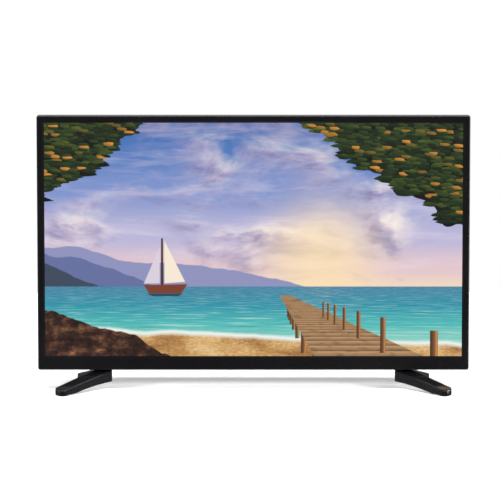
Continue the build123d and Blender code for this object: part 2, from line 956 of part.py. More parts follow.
def timing_header_x():
    """Inner end, on the main board, of the flat cable from the timing board."""
    return -board_inner_x - board_stand_inset - board_screw_head - board_edge_gap


# Rear cover
def thin_form(inset, front):
    """The cover's shallow form: an upright rim, then slopes in to the flat back."""
    shift = inset * hypot(thin_slope_run, thin_rise) / thin_rise
    y0 = rim_back_y - (shift - inset) * thin_rise / thin_slope_run
    y1 = thin_back_y - inset
    draw = thin_slope_run * (y1 - rim_back_y) / thin_rise + shift
    corner = max(rim_corner - inset, least_round)
    rim = rounded(rim_width - 2 * inset, rim_height - 2 * inset, corner, mid_z)
    top = rounded(rim_width - 2 * draw, rim_height - 2 * draw, thin_corner - inset, mid_z)
    return slab(rim, front, y0) + loft([face_plane(y0) * rim, face_plane(y1) * top], ruled=True)


def slope_z(y):
    """Height of the deep part's sloping top at depth y."""
    return bulge_top_z - bulge_slope_drop * (y - thin_back_y) / bulge_slope_run


def bulge_form(inset):
    """The cover's deep lower part, with rounded edges."""
    drop = inset * hypot(bulge_slope_drop, bulge_slope_run) / bulge_slope_run
    low = bulge_bottom_z + inset
    back = back_y - inset
    high_back = slope_z(back) - drop
    high_front = slope_z(rim_back_y) - drop
    points = [(rim_back_y, low), (back, low), (back, high_back), (rim_back_y, high_front)]
    outline = make_face(Polyline([(0, y, z) for y, z in points], close=True))
    form = extrude(outline, amount=bulge_half - inset, dir=(1, 0, 0), both=True)
    edges = [edge for edge in form.edges() if edge.center().Y > rim_back_y + least_round]
    return fillet(edges, max(bulge_round - inset, least_round))


def bays(wall):
    """Limits of the three recesses for sockets, each grown by wall on its closed sides."""
    y0 = bay_front_y - wall
    y1 = back_y + overrun
    low = side_bay_bottom_z - wall
    boxes = [(-bulge_half - overrun, -side_bay_x + wall, y0, y1, low, side_bay_top_z + wall)]
    for x, width in ((av_bay_x, av_bay_width), (inlet_x, inlet_bay_width)):
        half = width / 2 + wall
        boxes.append((x - half, x + half, y0, y1, bulge_bottom_z - overrun, bay_top_z + wall))
    return boxes


def side_socket_places():
    """Heights of the side sockets from the top: first the wide ones, then the narrow ones."""
    top = side_bay_top_z - socket_margin
    hdmi = [top - i * hdmi_pitch for i in range(hdmi_count)]
    usb = [hdmi[-1] - hdmi_pitch - i * usb_pitch for i in range(usb_count)]
    return hdmi, usb


def bottom_socket_x(index):
    """Place along X of one of the sockets that face down."""
    return av_bay_x - av_bay_width / 2 + bottom_socket_shares[index] * av_bay_width


def av_jack_xs():
    """Places of the sound and picture jacks."""
    return [bottom_socket_x(1 + i) for i in range(av_jack_count)]


def socket_holes():
    """Cuts in the walls of the recesses, one for each socket."""
    cuts = []
    x0 = -side_bay_x - overrun
    x1 = -side_bay_x + cover_wall + overrun
    gap = socket_gap
    for zs, width, height in zip(side_socket_places(), (hdmi_width, usb_width), (hdmi_height, usb_height)):
        for z in zs:
            half = width / 2 + gap
            cuts.append(block(x0, x1, board_back_y - gap, board_back_y + height + gap, z - half, z + half))
    z0 = bay_top_z - overrun
    z1 = bay_top_z + cover_wall + overrun
    cuts.append(rod_z(bottom_socket_x(0), board_back_y + aerial_body / 2, aerial_radius + gap, z0, z1))
    for x in av_jack_xs():
        cuts.append(rod_z(x, board_back_y + av_jack_body / 2, av_jack_radius + gap, z0, z1))
    x = bottom_socket_x(1 + av_jack_count)
    cuts.append(rod_z(x, board_back_y + headphone_body / 2, headphone_radius + gap, z0, z1))
    lan_x = bottom_socket_x(2 + av_jack_count)
    for x, width, height in ((lan_x, lan_width, lan_height), (inlet_x, inlet_width, inlet_height)):
        half = width / 2 + gap
        cuts.append(block(x - half, x + half, board_back_y - gap, board_back_y + height + gap, z0, z1))
    return cuts


def vent_cuts():
    """Air slots in the back, in its sloping top and in the bottom, and slots under the speakers."""
    cuts = []
    half = vent_width / 2
    z1 = bulge_bottom_z + bulge_height - bulge_slope_drop - vent_drop
    slope_y = (thin_back_y + back_y) / 2
    bottom_y = (bay_front_y + back_y) / 2
    through = cover_back_inner_y - overrun, back_y + overrun, z1 - vent_length, z1
    y0 = slope_y - slope_vent_length / 2
    z = slope_z(slope_y)
    sloping = y0, y0 + slope_vent_length, z - slope_vent_length, z + slope_vent_length
    under = bulge_bottom_z - overrun, bulge_inner_z + overrun
    for x in spread(vent_count, vent_pitch):
        for mid_x in (-board_mid_x, board_mid_x):
            cuts.append(block(x + mid_x - half, x + mid_x + half, *through))
            cuts.append(block(x + mid_x - half, x + mid_x + half, *sloping))
        y0 = bottom_y - slope_vent_length
        cuts.append(block(x - half, x + half, y0, y0 + 2 * slope_vent_length, *under))
    half = grille_slot_width / 2
    reach = grille_slot_length / 2
    for x in spread(grille_slot_count, grille_slot_pitch):
        for mid_x in (-speaker_x, speaker_x):
            x0 = x + mid_x - half
            cuts.append(block(x0, x0 + grille_slot_width, speaker_y - reach, speaker_y + reach, *under))
    return cuts


def key_heights():
    """Heights of the keys, the first one on top."""
    return [key_z + z for z in reversed(spread(len(key_names), key_pitch))]


def side_plane(x, z):
    """Plane at x that faces the viewer's right, on the keys' line: local x is +Y, local y is +Z."""
    return Plane(origin=(x, key_y, z), x_dir=(0, 1, 0), z_dir=(1, 0, 0))


def key_boss_places():
    """Heights of the two bosses that carry the key board."""
    half = key_board_height / 2 - key_boss_inset
    return [key_z - half, key_z + half]


def rear_cover():
    """The plastic back: shallow above, deep below, with recesses, wells, vents and a tongue."""
    outer = thin_form(0, frame_back_y) + bulge_form(0)
    cover = outer - thin_form(cover_wall, frame_back_y - overrun) - bulge_form(cover_wall)
    for limits in bays(cover_wall):
        cover += block(*limits) & outer
    width = cavity_width - 2 * tongue_gap
    height = cavity_height - 2 * tongue_gap
    inner_corner = max(cavity_corner - tongue_thickness, least_round)
    ring = rounded(width, height, cavity_corner, mid_z)
    ring -= rounded(width - 2 * tongue_thickness, height - 2 * tongue_thickness, inner_corner, mid_z)
    cover += slab(ring, frame_back_y - tongue_depth, frame_back_y + tongue_thickness)
    for x, z in well_places():
        cover += rod_y(x, z, well_radius + well_wall, cover_inner_y, back_y - least_round)
    for z in key_boss_places():
        cover += rod_x(key_y, z, key_boss_radius, key_board_x, bulge_inner_x + least_round)
    for limits in bays(0):
        cover -= block(*limits)
    seat_y = thin_back_y - cover_screw_seat
    cuts = socket_holes() + vent_cuts()
    for x, z in cover_post_places():
        cuts.append(rod_y(x, z, cover_screw_head + fit_gap, seat_y, thin_back_y + overrun))
    for x, z in well_places():
        cuts.append(rod_y(x, z, well_radius, seat_y, back_y + overrun))
    for x, z in cover_post_places() + well_places():
        cuts.append(rod_y(x, z, cover_screw_radius + fit_gap, cover_inner_y - overrun, seat_y + overrun))
    for x, z in corners(0, vesa_z, vesa_width, vesa_height):
        cuts.append(rod_y(x, z, vesa_nose_radius + fit_gap, cover_back_inner_y - overrun, back_y + overrun))
    for y in foot_screw_ys():
        radius = foot_screw_radius + foot_screw_hole_gap
        cuts += both_sides(rod_z(foot_apex_x, y, radius, bulge_bottom_z - overrun, bulge_inner_z + overrun))
    outline = RectangleRounded(key_width + 2 * fit_gap, key_length + 2 * fit_gap, key_corner + fit_gap)
    through = cover_wall + 2 * overrun
    for z in key_heights():
        cuts.append(extrude(side_plane(bulge_inner_x - overrun, z) * outline, amount=through))
    for z in key_boss_places():
        bore_end = key_board_x + board_screw_reach
        cuts.append(rod_x(key_y, z, board_screw_radius + screw_gap, key_board_x - overrun, bore_end))
    cover = cover - cuts
    return cover.solid()


# Boards and what they carry
def board_place(side, x_share, z_share):
    """A place on the main board (-1) or the power board (1), as shares from its outer lower corner."""
    return side * (board_outer_x - x_share * board_width), board_bottom_z + z_share * board_height


def part_on_board(place, width, height, depth):
    """A block that stands on a board."""
    x, z = place
    return Pos(x, board_back_y + depth / 2, z) * Box(width, depth, height)


def main_board():
    """The board behind the picture's left half, seen from the front."""
    return screwed_board(-board_mid_x, board_mid_z, board_width, board_height).solid()


def power_board():
    """The mains board, with no part on it."""
    return screwed_board(board_mid_x, board_mid_z, board_width, board_height).solid()


def edge_header(side, z):
    """A connector at a board's inner edge."""
    x0 = board_inner_x + header_height
    x = side * (x0 + header_height / 2)
    return part_on_board((x, z), header_height, header_width, header_depth)


def main_board_chips():
    """Processor, memories, tuner can and connectors."""
    solids = [part_on_board(board_place(-1, *processor_shares), chip_side, chip_side, chip_thickness)]
    for shares in memory_shares:
        solids.append(part_on_board(board_place(-1, *shares), memory_width, memory_length, memory_thickness))
    solids.append(part_on_board(board_place(-1, *tuner_shares), tuner_width, tuner_height, tuner_depth))
    for z in (harness_z(), speaker_lead_z(), key_lead_z()):
        solids.append(edge_header(-1, z))
    x = timing_header_x() - header_height / 2
    solids.append(part_on_board((x, timing_mid_z), header_height, header_width, header_depth))
    x = -board_outer_x + header_width + header_height
    z = board_bottom_z + header_width / 2 + fit_gap
    solids.append(part_on_board((x, z), header_height, header_width, header_depth))
    return group(solids)


def chip_heat_sink():
    """Finned aluminium block on the processor."""
    x, z = board_place(-1, *processor_shares)
    y0 = board_back_y + chip_thickness
    half = heat_sink_side / 2
    sink = block(x - half, x + half, y0, y0 + heat_sink_base, z - half, z + half)
    for dx in spread(heat_sink_fins, (heat_sink_side - heat_sink_fin) / (heat_sink_fins - 1)):
        edge = heat_sink_fin / 2
        sink += block(x + dx - edge, x + dx + edge, y0, y0 + heat_sink_height, z - half, z + half)
    return sink.solid()


def mouth_socket(width, height, length, wall, depth, tongue_thickness, z):
    """A metal-shelled socket on the main board's outer edge, with a tongue inside."""
    x0 = -side_bay_x
    y0 = board_back_y
    y1 = board_back_y + height
    half = width / 2
    shell = block(x0, x0 + length, y0, y1, z - half, z + half)
    shell -= block(x0 - overrun, x0 + depth, y0 + wall, y1 - wall, z - half + wall, z + half - wall)
    mid = (y0 + y1) / 2
    edge = half - wall - tongue_side_gap
    thick = tongue_thickness / 2
    tongue = block(x0 + tongue_side_gap, x0 + depth + wall, mid - thick, mid + thick, z - edge, z + edge)
    return shell + tongue


def hdmi_sockets():
    """Three picture sockets that face sideways."""
    sizes = hdmi_width, hdmi_height, hdmi_length, hdmi_wall, hdmi_cavity_depth, hdmi_tongue_thickness
    return group([mouth_socket(*sizes, z) for z in side_socket_places()[0]])


def usb_sockets():
    """Two data sockets that face sideways."""
    sizes = usb_width, usb_height, usb_length, usb_wall, usb_cavity_depth, usb_tongue_thickness
    return group([mouth_socket(*sizes, z) for z in side_socket_places()[1]])


def down_body(x, width, depth, length):
    """Body of a socket that stands on the main board behind its recess's wall."""
    z0 = bay_top_z + cover_wall + socket_gap
    return block(x - width / 2, x + width / 2, board_back_y, board_back_y + depth, z0, z0 + length)


def aerial_socket():
    """Coaxial socket: a sleeve with a contact tube inside."""
    x = bottom_socket_x(0)
    y = board_back_y + aerial_body / 2
    z0 = bay_top_z - aerial_reach
    z1 = bay_top_z + cover_wall + socket_gap + least_round
    socket = down_body(x, aerial_body, aerial_body, aerial_length) + rod_z(x, y, aerial_radius, z0, z1)
    socket -= rod_z(x, y, aerial_bore_radius, z0 - overrun, z0 + aerial_bore_depth)
    socket += rod_z(x, y, aerial_contact_radius, z0 + overrun, z0 + aerial_bore_depth + least_round)
    return socket.solid()


def av_jacks():
    """Three round jacks in a row."""
    jacks = []
    for x in av_jack_xs():
        y = board_back_y + av_jack_body / 2
        z0 = bay_top_z - av_jack_reach
        z1 = bay_top_z + cover_wall + socket_gap + least_round
        jack = down_body(x, av_jack_body, av_jack_body, av_jack_length) + rod_z(x, y, av_jack_radius, z0, z1)
        jacks.append(jack - rod_z(x, y, av_jack_bore_radius, z0 - overrun, z1))
    return group(jacks)


def headphone_jack():
    """Small round jack."""
    x = bottom_socket_x(1 + av_jack_count)
    y = board_back_y + headphone_body / 2
    z0 = bay_top_z - headphone_reach
    z1 = bay_top_z + cover_wall + socket_gap + least_round
    jack = down_body(x, headphone_body, headphone_body, headphone_length)
    jack += rod_z(x, y, headphone_radius, z0, z1)
    return (jack - rod_z(x, y, headphone_bore_radius, z0 - overrun, z0 + headphone_bore_depth)).solid()


def lan_socket():
    """Network socket, with the notch for the plug's latch."""
    x = bottom_socket_x(2 + av_jack_count)
    z0 = bay_top_z
    y1 = board_back_y + lan_height
    socket = block(x - lan_width / 2, x + lan_width / 2, board_back_y, y1, z0, z0 + lan_length)
    half = lan_cavity_width / 2
    y0 = board_back_y + (lan_height - lan_cavity_height - lan_latch_height) / 2
    cavity_top = y0 + lan_cavity_height
    z1 = z0 + lan_cavity_depth
    socket -= block(x - half, x + half, y0, cavity_top, z0 - overrun, z1)
    half = lan_latch_width / 2
    socket -= block(x - half, x + half, y0, cavity_top + lan_latch_height, z0 - overrun, z1)
    return socket.solid()


def mains_inlet():
    """Plastic body of the figure-of-eight inlet."""
    y = board_back_y + inlet_height / 2
    z0 = bay_top_z
    body = Pos(inlet_x, y, z0 + inlet_length / 2) * Box(inlet_width, inlet_height, inlet_length)
    plan = Pos(inlet_x, y, z0 - overrun) * SlotCenterToCenter(inlet_lobe_spacing, 2 * inlet_lobe_radius)
    body -= extrude(plan, amount=inlet_recess_depth + overrun)
    for x in spread(2, inlet_lobe_spacing):
        body -= rod_z(inlet_x + x, y, inlet_pin_radius, z0, z0 + inlet_recess_depth + inlet_pin_root)
    return body.solid()


def inlet_pins():
    """The inlet's two brass pins, rooted in its body."""
    y = board_back_y + inlet_height / 2
    z1 = bay_top_z + inlet_recess_depth
    pins = []
    for x in spread(2, inlet_lobe_spacing):
        pins.append(rod_z(inlet_x + x, y, inlet_pin_radius, z1 - inlet_pin_length, z1 + inlet_pin_root))
    return group(pins)


def power_components():
    """Transformer, choke, capacitors and connector of the mains board."""
    place = board_place(1, *transformer_shares)
    solids = [part_on_board(place, transformer_width, transformer_height, transformer_depth)]
    solids.append(part_on_board(board_place(1, *choke_shares), choke_side, choke_side, choke_side))
    x, z = board_place(1, *capacitor_shares)
    solids.append(rod_y(x, z, capacitor_radius, board_back_y, board_back_y + capacitor_length))
    x, z = board_place(1, *small_capacitor_shares)
    y1 = board_back_y + small_capacitor_length
    for dz in spread(small_capacitor_count, small_capacitor_pitch):
        solids.append(rod_y(x, z + dz, small_capacitor_radius, board_back_y, y1))
    solids.append(edge_header(1, harness_z()))
    return group(solids)


def power_heat_sinks():
    """Two bent aluminium plates."""
    sinks = []
    for shares, way in zip(power_sink_shares, (-1, 1)):
        x, z = board_place(1, *shares)
        z0 = z - power_sink_length / 2
        z1 = z + power_sink_length / 2
        half = power_sink_thickness / 2
        y1 = board_back_y + power_sink_depth
        sink = block(x - half, x + half, board_back_y, y1, z0, z1)
        x0 = min(x, x + way * power_sink_fin)
        sink += block(x0, x0 + power_sink_fin, y1 - power_sink_thickness, y1, z0, z1)
        sinks.append(sink)
    return group(sinks)


def vesa_posts():
    """Steel posts from the tray to the holes for a wall bracket."""
    posts = []
    for x, z in corners(0, vesa_z, vesa_width, vesa_height):
        post = rod_y(x, z, vesa_base_radius, pan_back_y, pan_back_y + vesa_base_thickness)
        post += rod_y(x, z, vesa_post_radius, pan_back_y, cover_back_inner_y - fit_gap)
        post += rod_y(x, z, vesa_nose_radius, pan_back_y, back_y)
        posts.append(post - rod_y(x, z, vesa_thread_radius, back_y - vesa_thread_length, back_y + overrun))
    return group(posts)


# Keys
def key(z):
    """A cap through the side wall, with a flange behind the wall and a stem into its switch."""
    cap = extrude(side_plane(key_flange_x, z) * RectangleRounded(key_width, key_length, key_corner),
                  amount=fit_gap + cover_wall + key_stand)
    cap = fillet(cap.faces().sort_by(Axis.X)[-1].edges(), key_round)
    lip = 2 * key_flange_lip
    flange = RectangleRounded(key_width + lip, key_length + lip, key_corner)
    cap += extrude(side_plane(key_flange_x - key_flange, z) * flange, amount=key_flange)
    cap += rod_x(key_y, z, key_stem_radius, stem_end_x, key_flange_x)
    return cap.solid()


def key_switches():
    """One switch body behind each key, bored for the key's stem."""
    switches = []
    half = switch_side / 2
    for z in key_heights():
        body = block(key_board_x, switch_top_x, key_y - half, key_y + half, z - half, z + half)
        bore_end = switch_top_x - switch_bore_depth
        switches.append(body - rod_x(key_y, z, switch_bore_radius, bore_end, switch_top_x + overrun))
    return group(switches)


def key_board():
    """Narrow board behind the keys."""
    half = key_board_width / 2
    x0 = key_board_x - key_board_thickness
    z0 = key_z - key_board_height / 2
    board = block(x0, key_board_x, key_y - half, key_y + half, z0, z0 + key_board_height)
    for z in key_boss_places():
        board -= rod_x(key_y, z, board_screw_radius + fit_gap, x0 - overrun, key_board_x + overrun)
    return board.solid()


# Loudspeakers
def speaker_boxes():
    """Closed boxes with a square opening in the bottom for the driver."""
    x0 = speaker_x - speaker_width / 2
    y0 = speaker_y - speaker_depth / 2
    z0 = speaker_bottom_z
    wall = speaker_wall
    box = block(x0, x0 + speaker_width, y0, y0 + speaker_depth, z0, z0 + speaker_height)
    hollow = Box(speaker_width - 2 * wall, speaker_depth - 2 * wall, speaker_height - 2 * wall)
    box -= Pos(speaker_x, speaker_y, z0 + speaker_height / 2) * hollow
    side = basket_side - 2 * basket_rim
    box -= Pos(speaker_x, speaker_y, z0 + wall / 2) * Box(side, side, wall + 2 * overrun)
    return group(both_sides(box))


def speaker_baskets():
    """Chassis with its legs, magnet, plates and pole."""
    z0 = basket_bottom_z
    half = basket_side / 2
    basket = block(-half, half, -half, half, z0, z0 + basket_plate)
    basket -= rod_z(0, 0, basket_hole_radius, z0 - overrun, z0 + basket_plate + overrun)
    plate_z = z0 + magnet_bottom
    outer = half - basket_rim - fit_gap
    for sx in (-1, 1):
        for sy in (-1, 1):
            x = sx * (outer - basket_leg / 2)
            y = sy * (outer - basket_leg / 2)
            leg = basket_leg / 2
            basket += block(x - leg, x + leg, y - leg, y + leg, z0 + basket_plate / 2, plate_z + magnet_plate)
    basket += block(-outer, outer, -outer, outer, plate_z, plate_z + magnet_plate)
    basket += rod_z(0, 0, magnet_radius, plate_z, plate_z + magnet_height)
    basket -= rod_z(0, 0, pole_gap_radius, plate_z - overrun, plate_z + magnet_height - magnet_plate)
    basket += rod_z(0, 0, pole_radius, plate_z, plate_z + magnet_height)
    return group(both_sides(Pos(speaker_x, speaker_y, 0) * basket))


def speaker_cone(side):
    """Cone, dust cap and coil former in one, turned about the driver's axis."""
    z0 = basket_bottom_z + cone_lift
    z1 = z0 + cone_rise
    coil_inner = coil_radius - coil_wall
    coil_z = basket_bottom_z + coil_top
    back_z = z1 + cone_wall
    points = [(cone_radius, z0), (cone_radius, z0 + cone_wall), (coil_radius, back_z), (coil_radius, coil_z),
              (coil_inner, coil_z), (coil_inner, back_z), (0, back_z), (0, z1), (coil_inner, z1)]
    profile = make_face(Polyline([(r, 0, z) for r, z in points], close=True))
    return Pos(side * speaker_x, speaker_y, 0) * revolve(profile, axis=Axis.Z)


def speaker_surround(side):
    """Soft ring between the cone and the chassis."""
    z0 = basket_bottom_z + cone_lift
    x = side * speaker_x
    ring = rod_z(x, speaker_y, surround_outer_radius, z0, z0 + surround_height)
    return ring - rod_z(x, speaker_y, surround_inner_radius, z0 - overrun, z0 + surround_height + overrun)


# Feet
def crossing(first, second):
    """Point where two edges meet, each given as its two ends."""
    p, q = first[0], second[0]
    p_way, q_way = first[1] - p, second[1] - q
    return p + p_way * ((q - p).cross(q_way).Z / p_way.cross(q_way).Z)


def limb_sides(tip, root_width, tip_width):
    """Both edges of a limb from the apex to its tip: the outer edge, then the inner one."""
    apex = Vector(foot_apex_x, foot_apex_y)
    way = (tip - apex).normalized()
    out = Vector(abs(way.Y), abs(way.X))
    if way.Y > 0:
        out = Vector(out.X, -out.Y)
    return [(apex + out * (sign * root_width / 2), tip + out * (sign * tip_width / 2)) for sign in (1, -1)]


def foot_tips():
    """Middle of the front end and of the rear end."""
    front = Vector(foot_apex_x + foot_front_out, foot_front_y)
    rear = Vector(foot_apex_x + foot_rear_out, foot_rear_y)
    return front, rear


def foot_plan():
    """The foot from above: two limbs that splay outwards from the apex."""
    front, rear = foot_tips()
    front_outer, front_inner = limb_sides(front, foot_root_width, foot_front_width)
    rear_outer, rear_inner = limb_sides(rear, foot_root_width, foot_rear_width)
    elbow = crossing(front_outer, rear_outer)
    heel = crossing(front_inner, rear_inner)
    points = [front_inner[1], front_outer[1], elbow, rear_outer[1], rear_inner[1], heel]
    plan = make_face(Polyline([(p.X, p.Y) for p in points], close=True))
    rounds = [foot_front_round] * 2 + [foot_elbow_round] + [foot_rear_round] * 2 + [foot_heel_round]
    for point, radius in zip(points, rounds):
        corner = plan.vertices().sort_by_distance(point)[0]
        plan = fillet(corner, radius)
    return plan


def foot_profile():
    """The foot from the side, in Y and Z: a crown in the middle, an arch under it and flat soles."""
    end = foot_depth / 2 + overrun
    sole_y = foot_depth / 2 - foot_sole_length
    reach = foot_depth / 2
    front_slope = (foot_crown_z - foot_front_top) / (foot_crown_y + reach)
    rear_slope = (foot_crown_z - foot_rear_top) / (reach - foot_crown_y)
    front_z = foot_front_top - overrun * front_slope
    rear_z = foot_rear_top - overrun * rear_slope
    under = Polyline((-end, foot_sole), (-sole_y, foot_sole))
    arch = ThreePointArc((-sole_y, foot_sole), (foot_apex_y, foot_arch), (sole_y, foot_sole))
    back = Polyline((sole_y, foot_sole), (end, foot_sole), (end, rear_z))
    ridge = [(end, rear_z), (foot_crown_y, foot_crown_z), (-end, front_z)]
    crown = FilletPolyline(*ridge, radius=foot_crown_round)
    front = Line((-end, front_z), (-end, foot_sole))
    return make_face(Plane.YZ * (under + arch + back + crown + front))


def foot_screw_ys():
    """Depths of one foot's two screws."""
    return [foot_screw_front_y, foot_screw_front_y + foot_screw_pitch]


def pad_places():
    """Middles of the two pads of the right foot."""
    apex = Vector(foot_apex_x, foot_apex_y)
    return [tip - (tip - apex).normalized() * pad_inset for tip in foot_tips()]


def foot(side):
    """A glossy moulded foot with a neck up to the cover; side is 1 at the viewer's right."""
    reach = foot_apex_x + foot_front_out + foot_front_width
    body = extrude(foot_plan(), amount=foot_crown_z) & extrude(foot_profile(), amount=reach)
    upper = [edge for edge in body.edges() if edge.center().Z > foot_arch + overrun]
    rim = [edge for edge in upper if abs(edge.tangent_at(0.5).Z) < rim_slope_share]
    body = fillet(rim, foot_edge_round)
    neck = Rot(0, 0, 90) * SlotCenterToCenter(neck_rear_y - neck_front_y, 2 * neck_radius)
    neck = Pos(foot_apex_x, (neck_front_y + neck_rear_y) / 2, neck_bottom) * neck
    body += extrude(neck, amount=bulge_bottom_z - neck_bottom)
    for y in foot_screw_ys():
        body -= rod_z(foot_apex_x, y, foot_screw_well, 0, foot_screw_seat)
        body -= rod_z(foot_apex_x, y, foot_screw_radius + foot_screw_hole_gap, 0, bulge_bottom_z + overrun)
    for place in pad_places():
        body -= rod_z(place.X, place.Y, pad_radius + pad_gap, 0, foot_sole + pad_recess)
    if side < 0:
        body = mirror(body, about=Plane.YZ)
    return body.solid()


def foot_pads():
    """Round rubber pads under the four tips."""
    pads = []
    for place in pad_places():
        pads += both_sides(rod_z(place.X, place.Y, pad_radius, 0, foot_sole + pad_recess))
    return group(pads)


def bracket_screw_places():
    """Screws that hold the right-hand bracket to the tray, as X and Z."""
    z = bulge_inner_z + seat_gap + bracket_rise - bracket_screw_inset
    return [(foot_apex_x + x, z) for x in spread(2, bracket_screw_pitch)]


def foot_brackets():
    """Steel angles behind the tray that the feet are screwed to through the cover."""
    half = bracket_width / 2
    z0 = bulge_inner_z + seat_gap
    x0 = foot_apex_x - half
    x1 = foot_apex_x + half
    bracket = block(x0, x1, pan_back_y, pan_back_y + bracket_sheet, z0, z0 + bracket_rise)
    bracket += block(x0, x1, pan_back_y, pan_back_y + bracket_depth, z0, z0 + bracket_sheet)
    for y in foot_screw_ys():
        z1 = z0 + bracket_sheet + bracket_boss_height
        bracket += rod_z(foot_apex_x, y, bracket_boss_radius, z0, z1)
        bracket -= rod_z(foot_apex_x, y, foot_screw_radius + screw_gap, z0 - overrun, z1 + overrun)
    for x, z in bracket_screw_places():
        y1 = pan_back_y + bracket_sheet + overrun
        bracket -= rod_y(x, z, board_screw_radius + fit_gap, pan_back_y - overrun, y1)
    return group(both_sides(bracket))


# Screws
def screw(head_radius, head_height, shank_radius, length):
    """A cross-recessed screw about the origin: head up, shank down."""
    head = Pos(0, 0, head_height / 2) * Cylinder(head_radius, head_height)
    head = fillet(head.faces().sort_by(Axis.Z)[-1].edges(), head_round_share * head_height)
    body = head + Pos(0, 0, -length / 2) * Cylinder(shank_radius, length)
    depth = recess_depth_share * head_height
    reach = recess_reach_share * 2 * head_radius
    for size in ((reach, recess_width), (recess_width, reach)):
        body -= Pos(0, 0, head_height) * Box(*size, 2 * depth)
    return body


def foot_screws():
    """Two long screws up through each foot."""
    length = bulge_inner_z + bracket_sheet + bracket_boss_height - foot_screw_seat
    one = Rot(180, 0, 0) * screw(foot_screw_head, foot_screw_head_height, foot_screw_radius, length)
    screws = []
    for y in foot_screw_ys():
        screws += both_sides(Pos(foot_apex_x, y, foot_screw_seat) * one)
    return group(screws)


def cover_screws():
    """Screws through the cover into the tray's posts."""
    seat_y = thin_back_y - cover_screw_seat
    length = seat_y - pan_back_y - fit_gap
    one = Rot(-90, 0, 0) * screw(cover_screw_head, cover_screw_head_height, cover_screw_radius, length)
    return group([Pos(x, seat_y, z) * one for x, z in cover_post_places() + well_places()])


def board_screws():
    """Screws of the boards, of the foot brackets and of the key board."""
    size = board_screw_head, board_screw_head_height, board_screw_radius
    one = Rot(-90, 0, 0) * screw(*size, board_screw_reach)
    screws = [Pos(x, board_back_y, z) * one for x, z in board_post_places()]
    short = Rot(-90, 0, 0) * screw(*size, bracket_sheet + pan_sheet + fit_gap)
    for x, z in bracket_screw_places():
        screws += [Pos(sign * x, pan_back_y + bracket_sheet, z) * short for sign in (-1, 1)]
    sideways = Rot(0, -90, 0) * screw(*size, board_screw_reach)
    screws += [Pos(key_board_x - key_board_thickness, key_y, z) * sideways for z in key_boss_places()]
    return group(screws)


def frame_screws():
    """Screws from behind the flange into the frame's bosses."""
    length = flange_back_y - bezel_back_y - fit_gap
    one = Rot(-90, 0, 0) * screw(board_screw_head, board_screw_head_height, board_screw_radius, length)
    return group([Pos(x, flange_back_y, z) * one for x, z in frame_screw_places()])


# Receiver
def front_lenses():
    """The receiver's window and the standby lamp's, each with a flange behind the bezel."""
    z = bottom_z + receiver_lift
    lenses = []
    y1 = bezel_back_y + lens_flange_thickness
    for x, radius in ((receiver_x, receiver_radius), (receiver_x - lamp_offset, lamp_radius)):
        lens = rod_y(x, z, radius, front_y, y1)
        lenses.append(lens + rod_y(x, z, radius + lens_flange, bezel_back_y, y1))
    return group(lenses)


def receiver_board():
    """Small board behind the windows, with the receiver and the lamp on its front."""
    x0, x1 = receiver_board_span()
    z = bottom_z + receiver_lift
    half = receiver_board_height / 2
    y0 = ledge_back_y - receiver_board_thickness
    solids = [block(x0, x1, y0, ledge_back_y, z - half, z + half)]
    for x, radius in ((receiver_x, receiver_radius), (receiver_x - lamp_offset, lamp_radius)):
        solids.append(rod_y(x, z, radius, y0 - receiver_part_height, y0))
    return group(solids)


# Leads
def harness_z():
    """Height of the leads between the two boards."""
    return board_mid_z + harness_lift


def speaker_lead_z():
    """Height of the right speaker's lead."""
    return board_mid_z - speaker_lead_drop


def key_lead_z():
    """Height of the key board's lead."""
    return board_mid_z + key_lead_rise + header_width / 4


def lead(points, radius):
    """A round lead of straight runs, each corner rounded as far as its shorter run allows."""
    bends = []
    for a, b, c in zip(points, points[1:], points[2:]):
        first = Vector(*b) - Vector(*a)
        second = Vector(*c) - Vector(*b)
        run = min(first.length, second.length)
        bends.append(bend_share * run / tan(radians(first.get_angle(second)) / 2))
    path = FilletPolyline(*points, radius=bends)
    return sweep(Plane(origin=path @ 0, z_dir=path % 0) * Circle(radius), path=path)


def wiring_leads():
    """Harness between the boards, and the leads of speakers, keys, receiver and lamps."""
    x = board_inner_x + header_height
    high = board_back_y + header_depth / 2
    low = pan_back_y + lead_clear
    dip = pan_back_y + harness_clear
    leads = []
    for dz in spread(wire_count, wire_pitch):
        z = harness_z() + dz
        right = [(x, high, z), (x - lead_step, high, z), (x - 3 * lead_step, dip, z)]
        left = [(-px, py, pz) for px, py, pz in reversed(right)]
        leads.append(lead(right + left, wire_radius))
    box_top = box_top_z()
    z = speaker_lead_z()
    end_x = speaker_x
    leads.append(lead([(-x, high, z), (lead_step - x, high, z), (2 * lead_step - x, low, z + fit_gap),
                       (board_outer_x, low, z + fit_gap), (end_x, speaker_y, z - lead_step),
                       (end_x, speaker_y, box_top)], lead_radius))
    z = board_bottom_z + header_width / 2
    start_x = header_width - board_outer_x
    leads.append(lead([(start_x + header_height / 2, high, z), (start_x - header_width, high, z),
                       (-speaker_x, speaker_y, z - fit_gap), (-speaker_x, speaker_y, box_top)], lead_radius))
    z = key_lead_z()
    inner_x = key_board_x - key_board_thickness
    leads.append(lead([(-x, high, z), (lead_step - x, high, z), (2 * lead_step - x, low, z + fit_gap),
                       (board_outer_x, low, z + fit_gap), (inner_x - lead_step, key_y, z),
                       (inner_x, key_y, z)], lead_radius))
    leads.append(receiver_lead(inner_x))
    for dx in spread(2, 2 * wire_pitch):
        leads.append(rod_y(board_mid_x + dx, led_rows()[0], wire_radius, pan_floor_y, board_front_y))
    return group(leads)


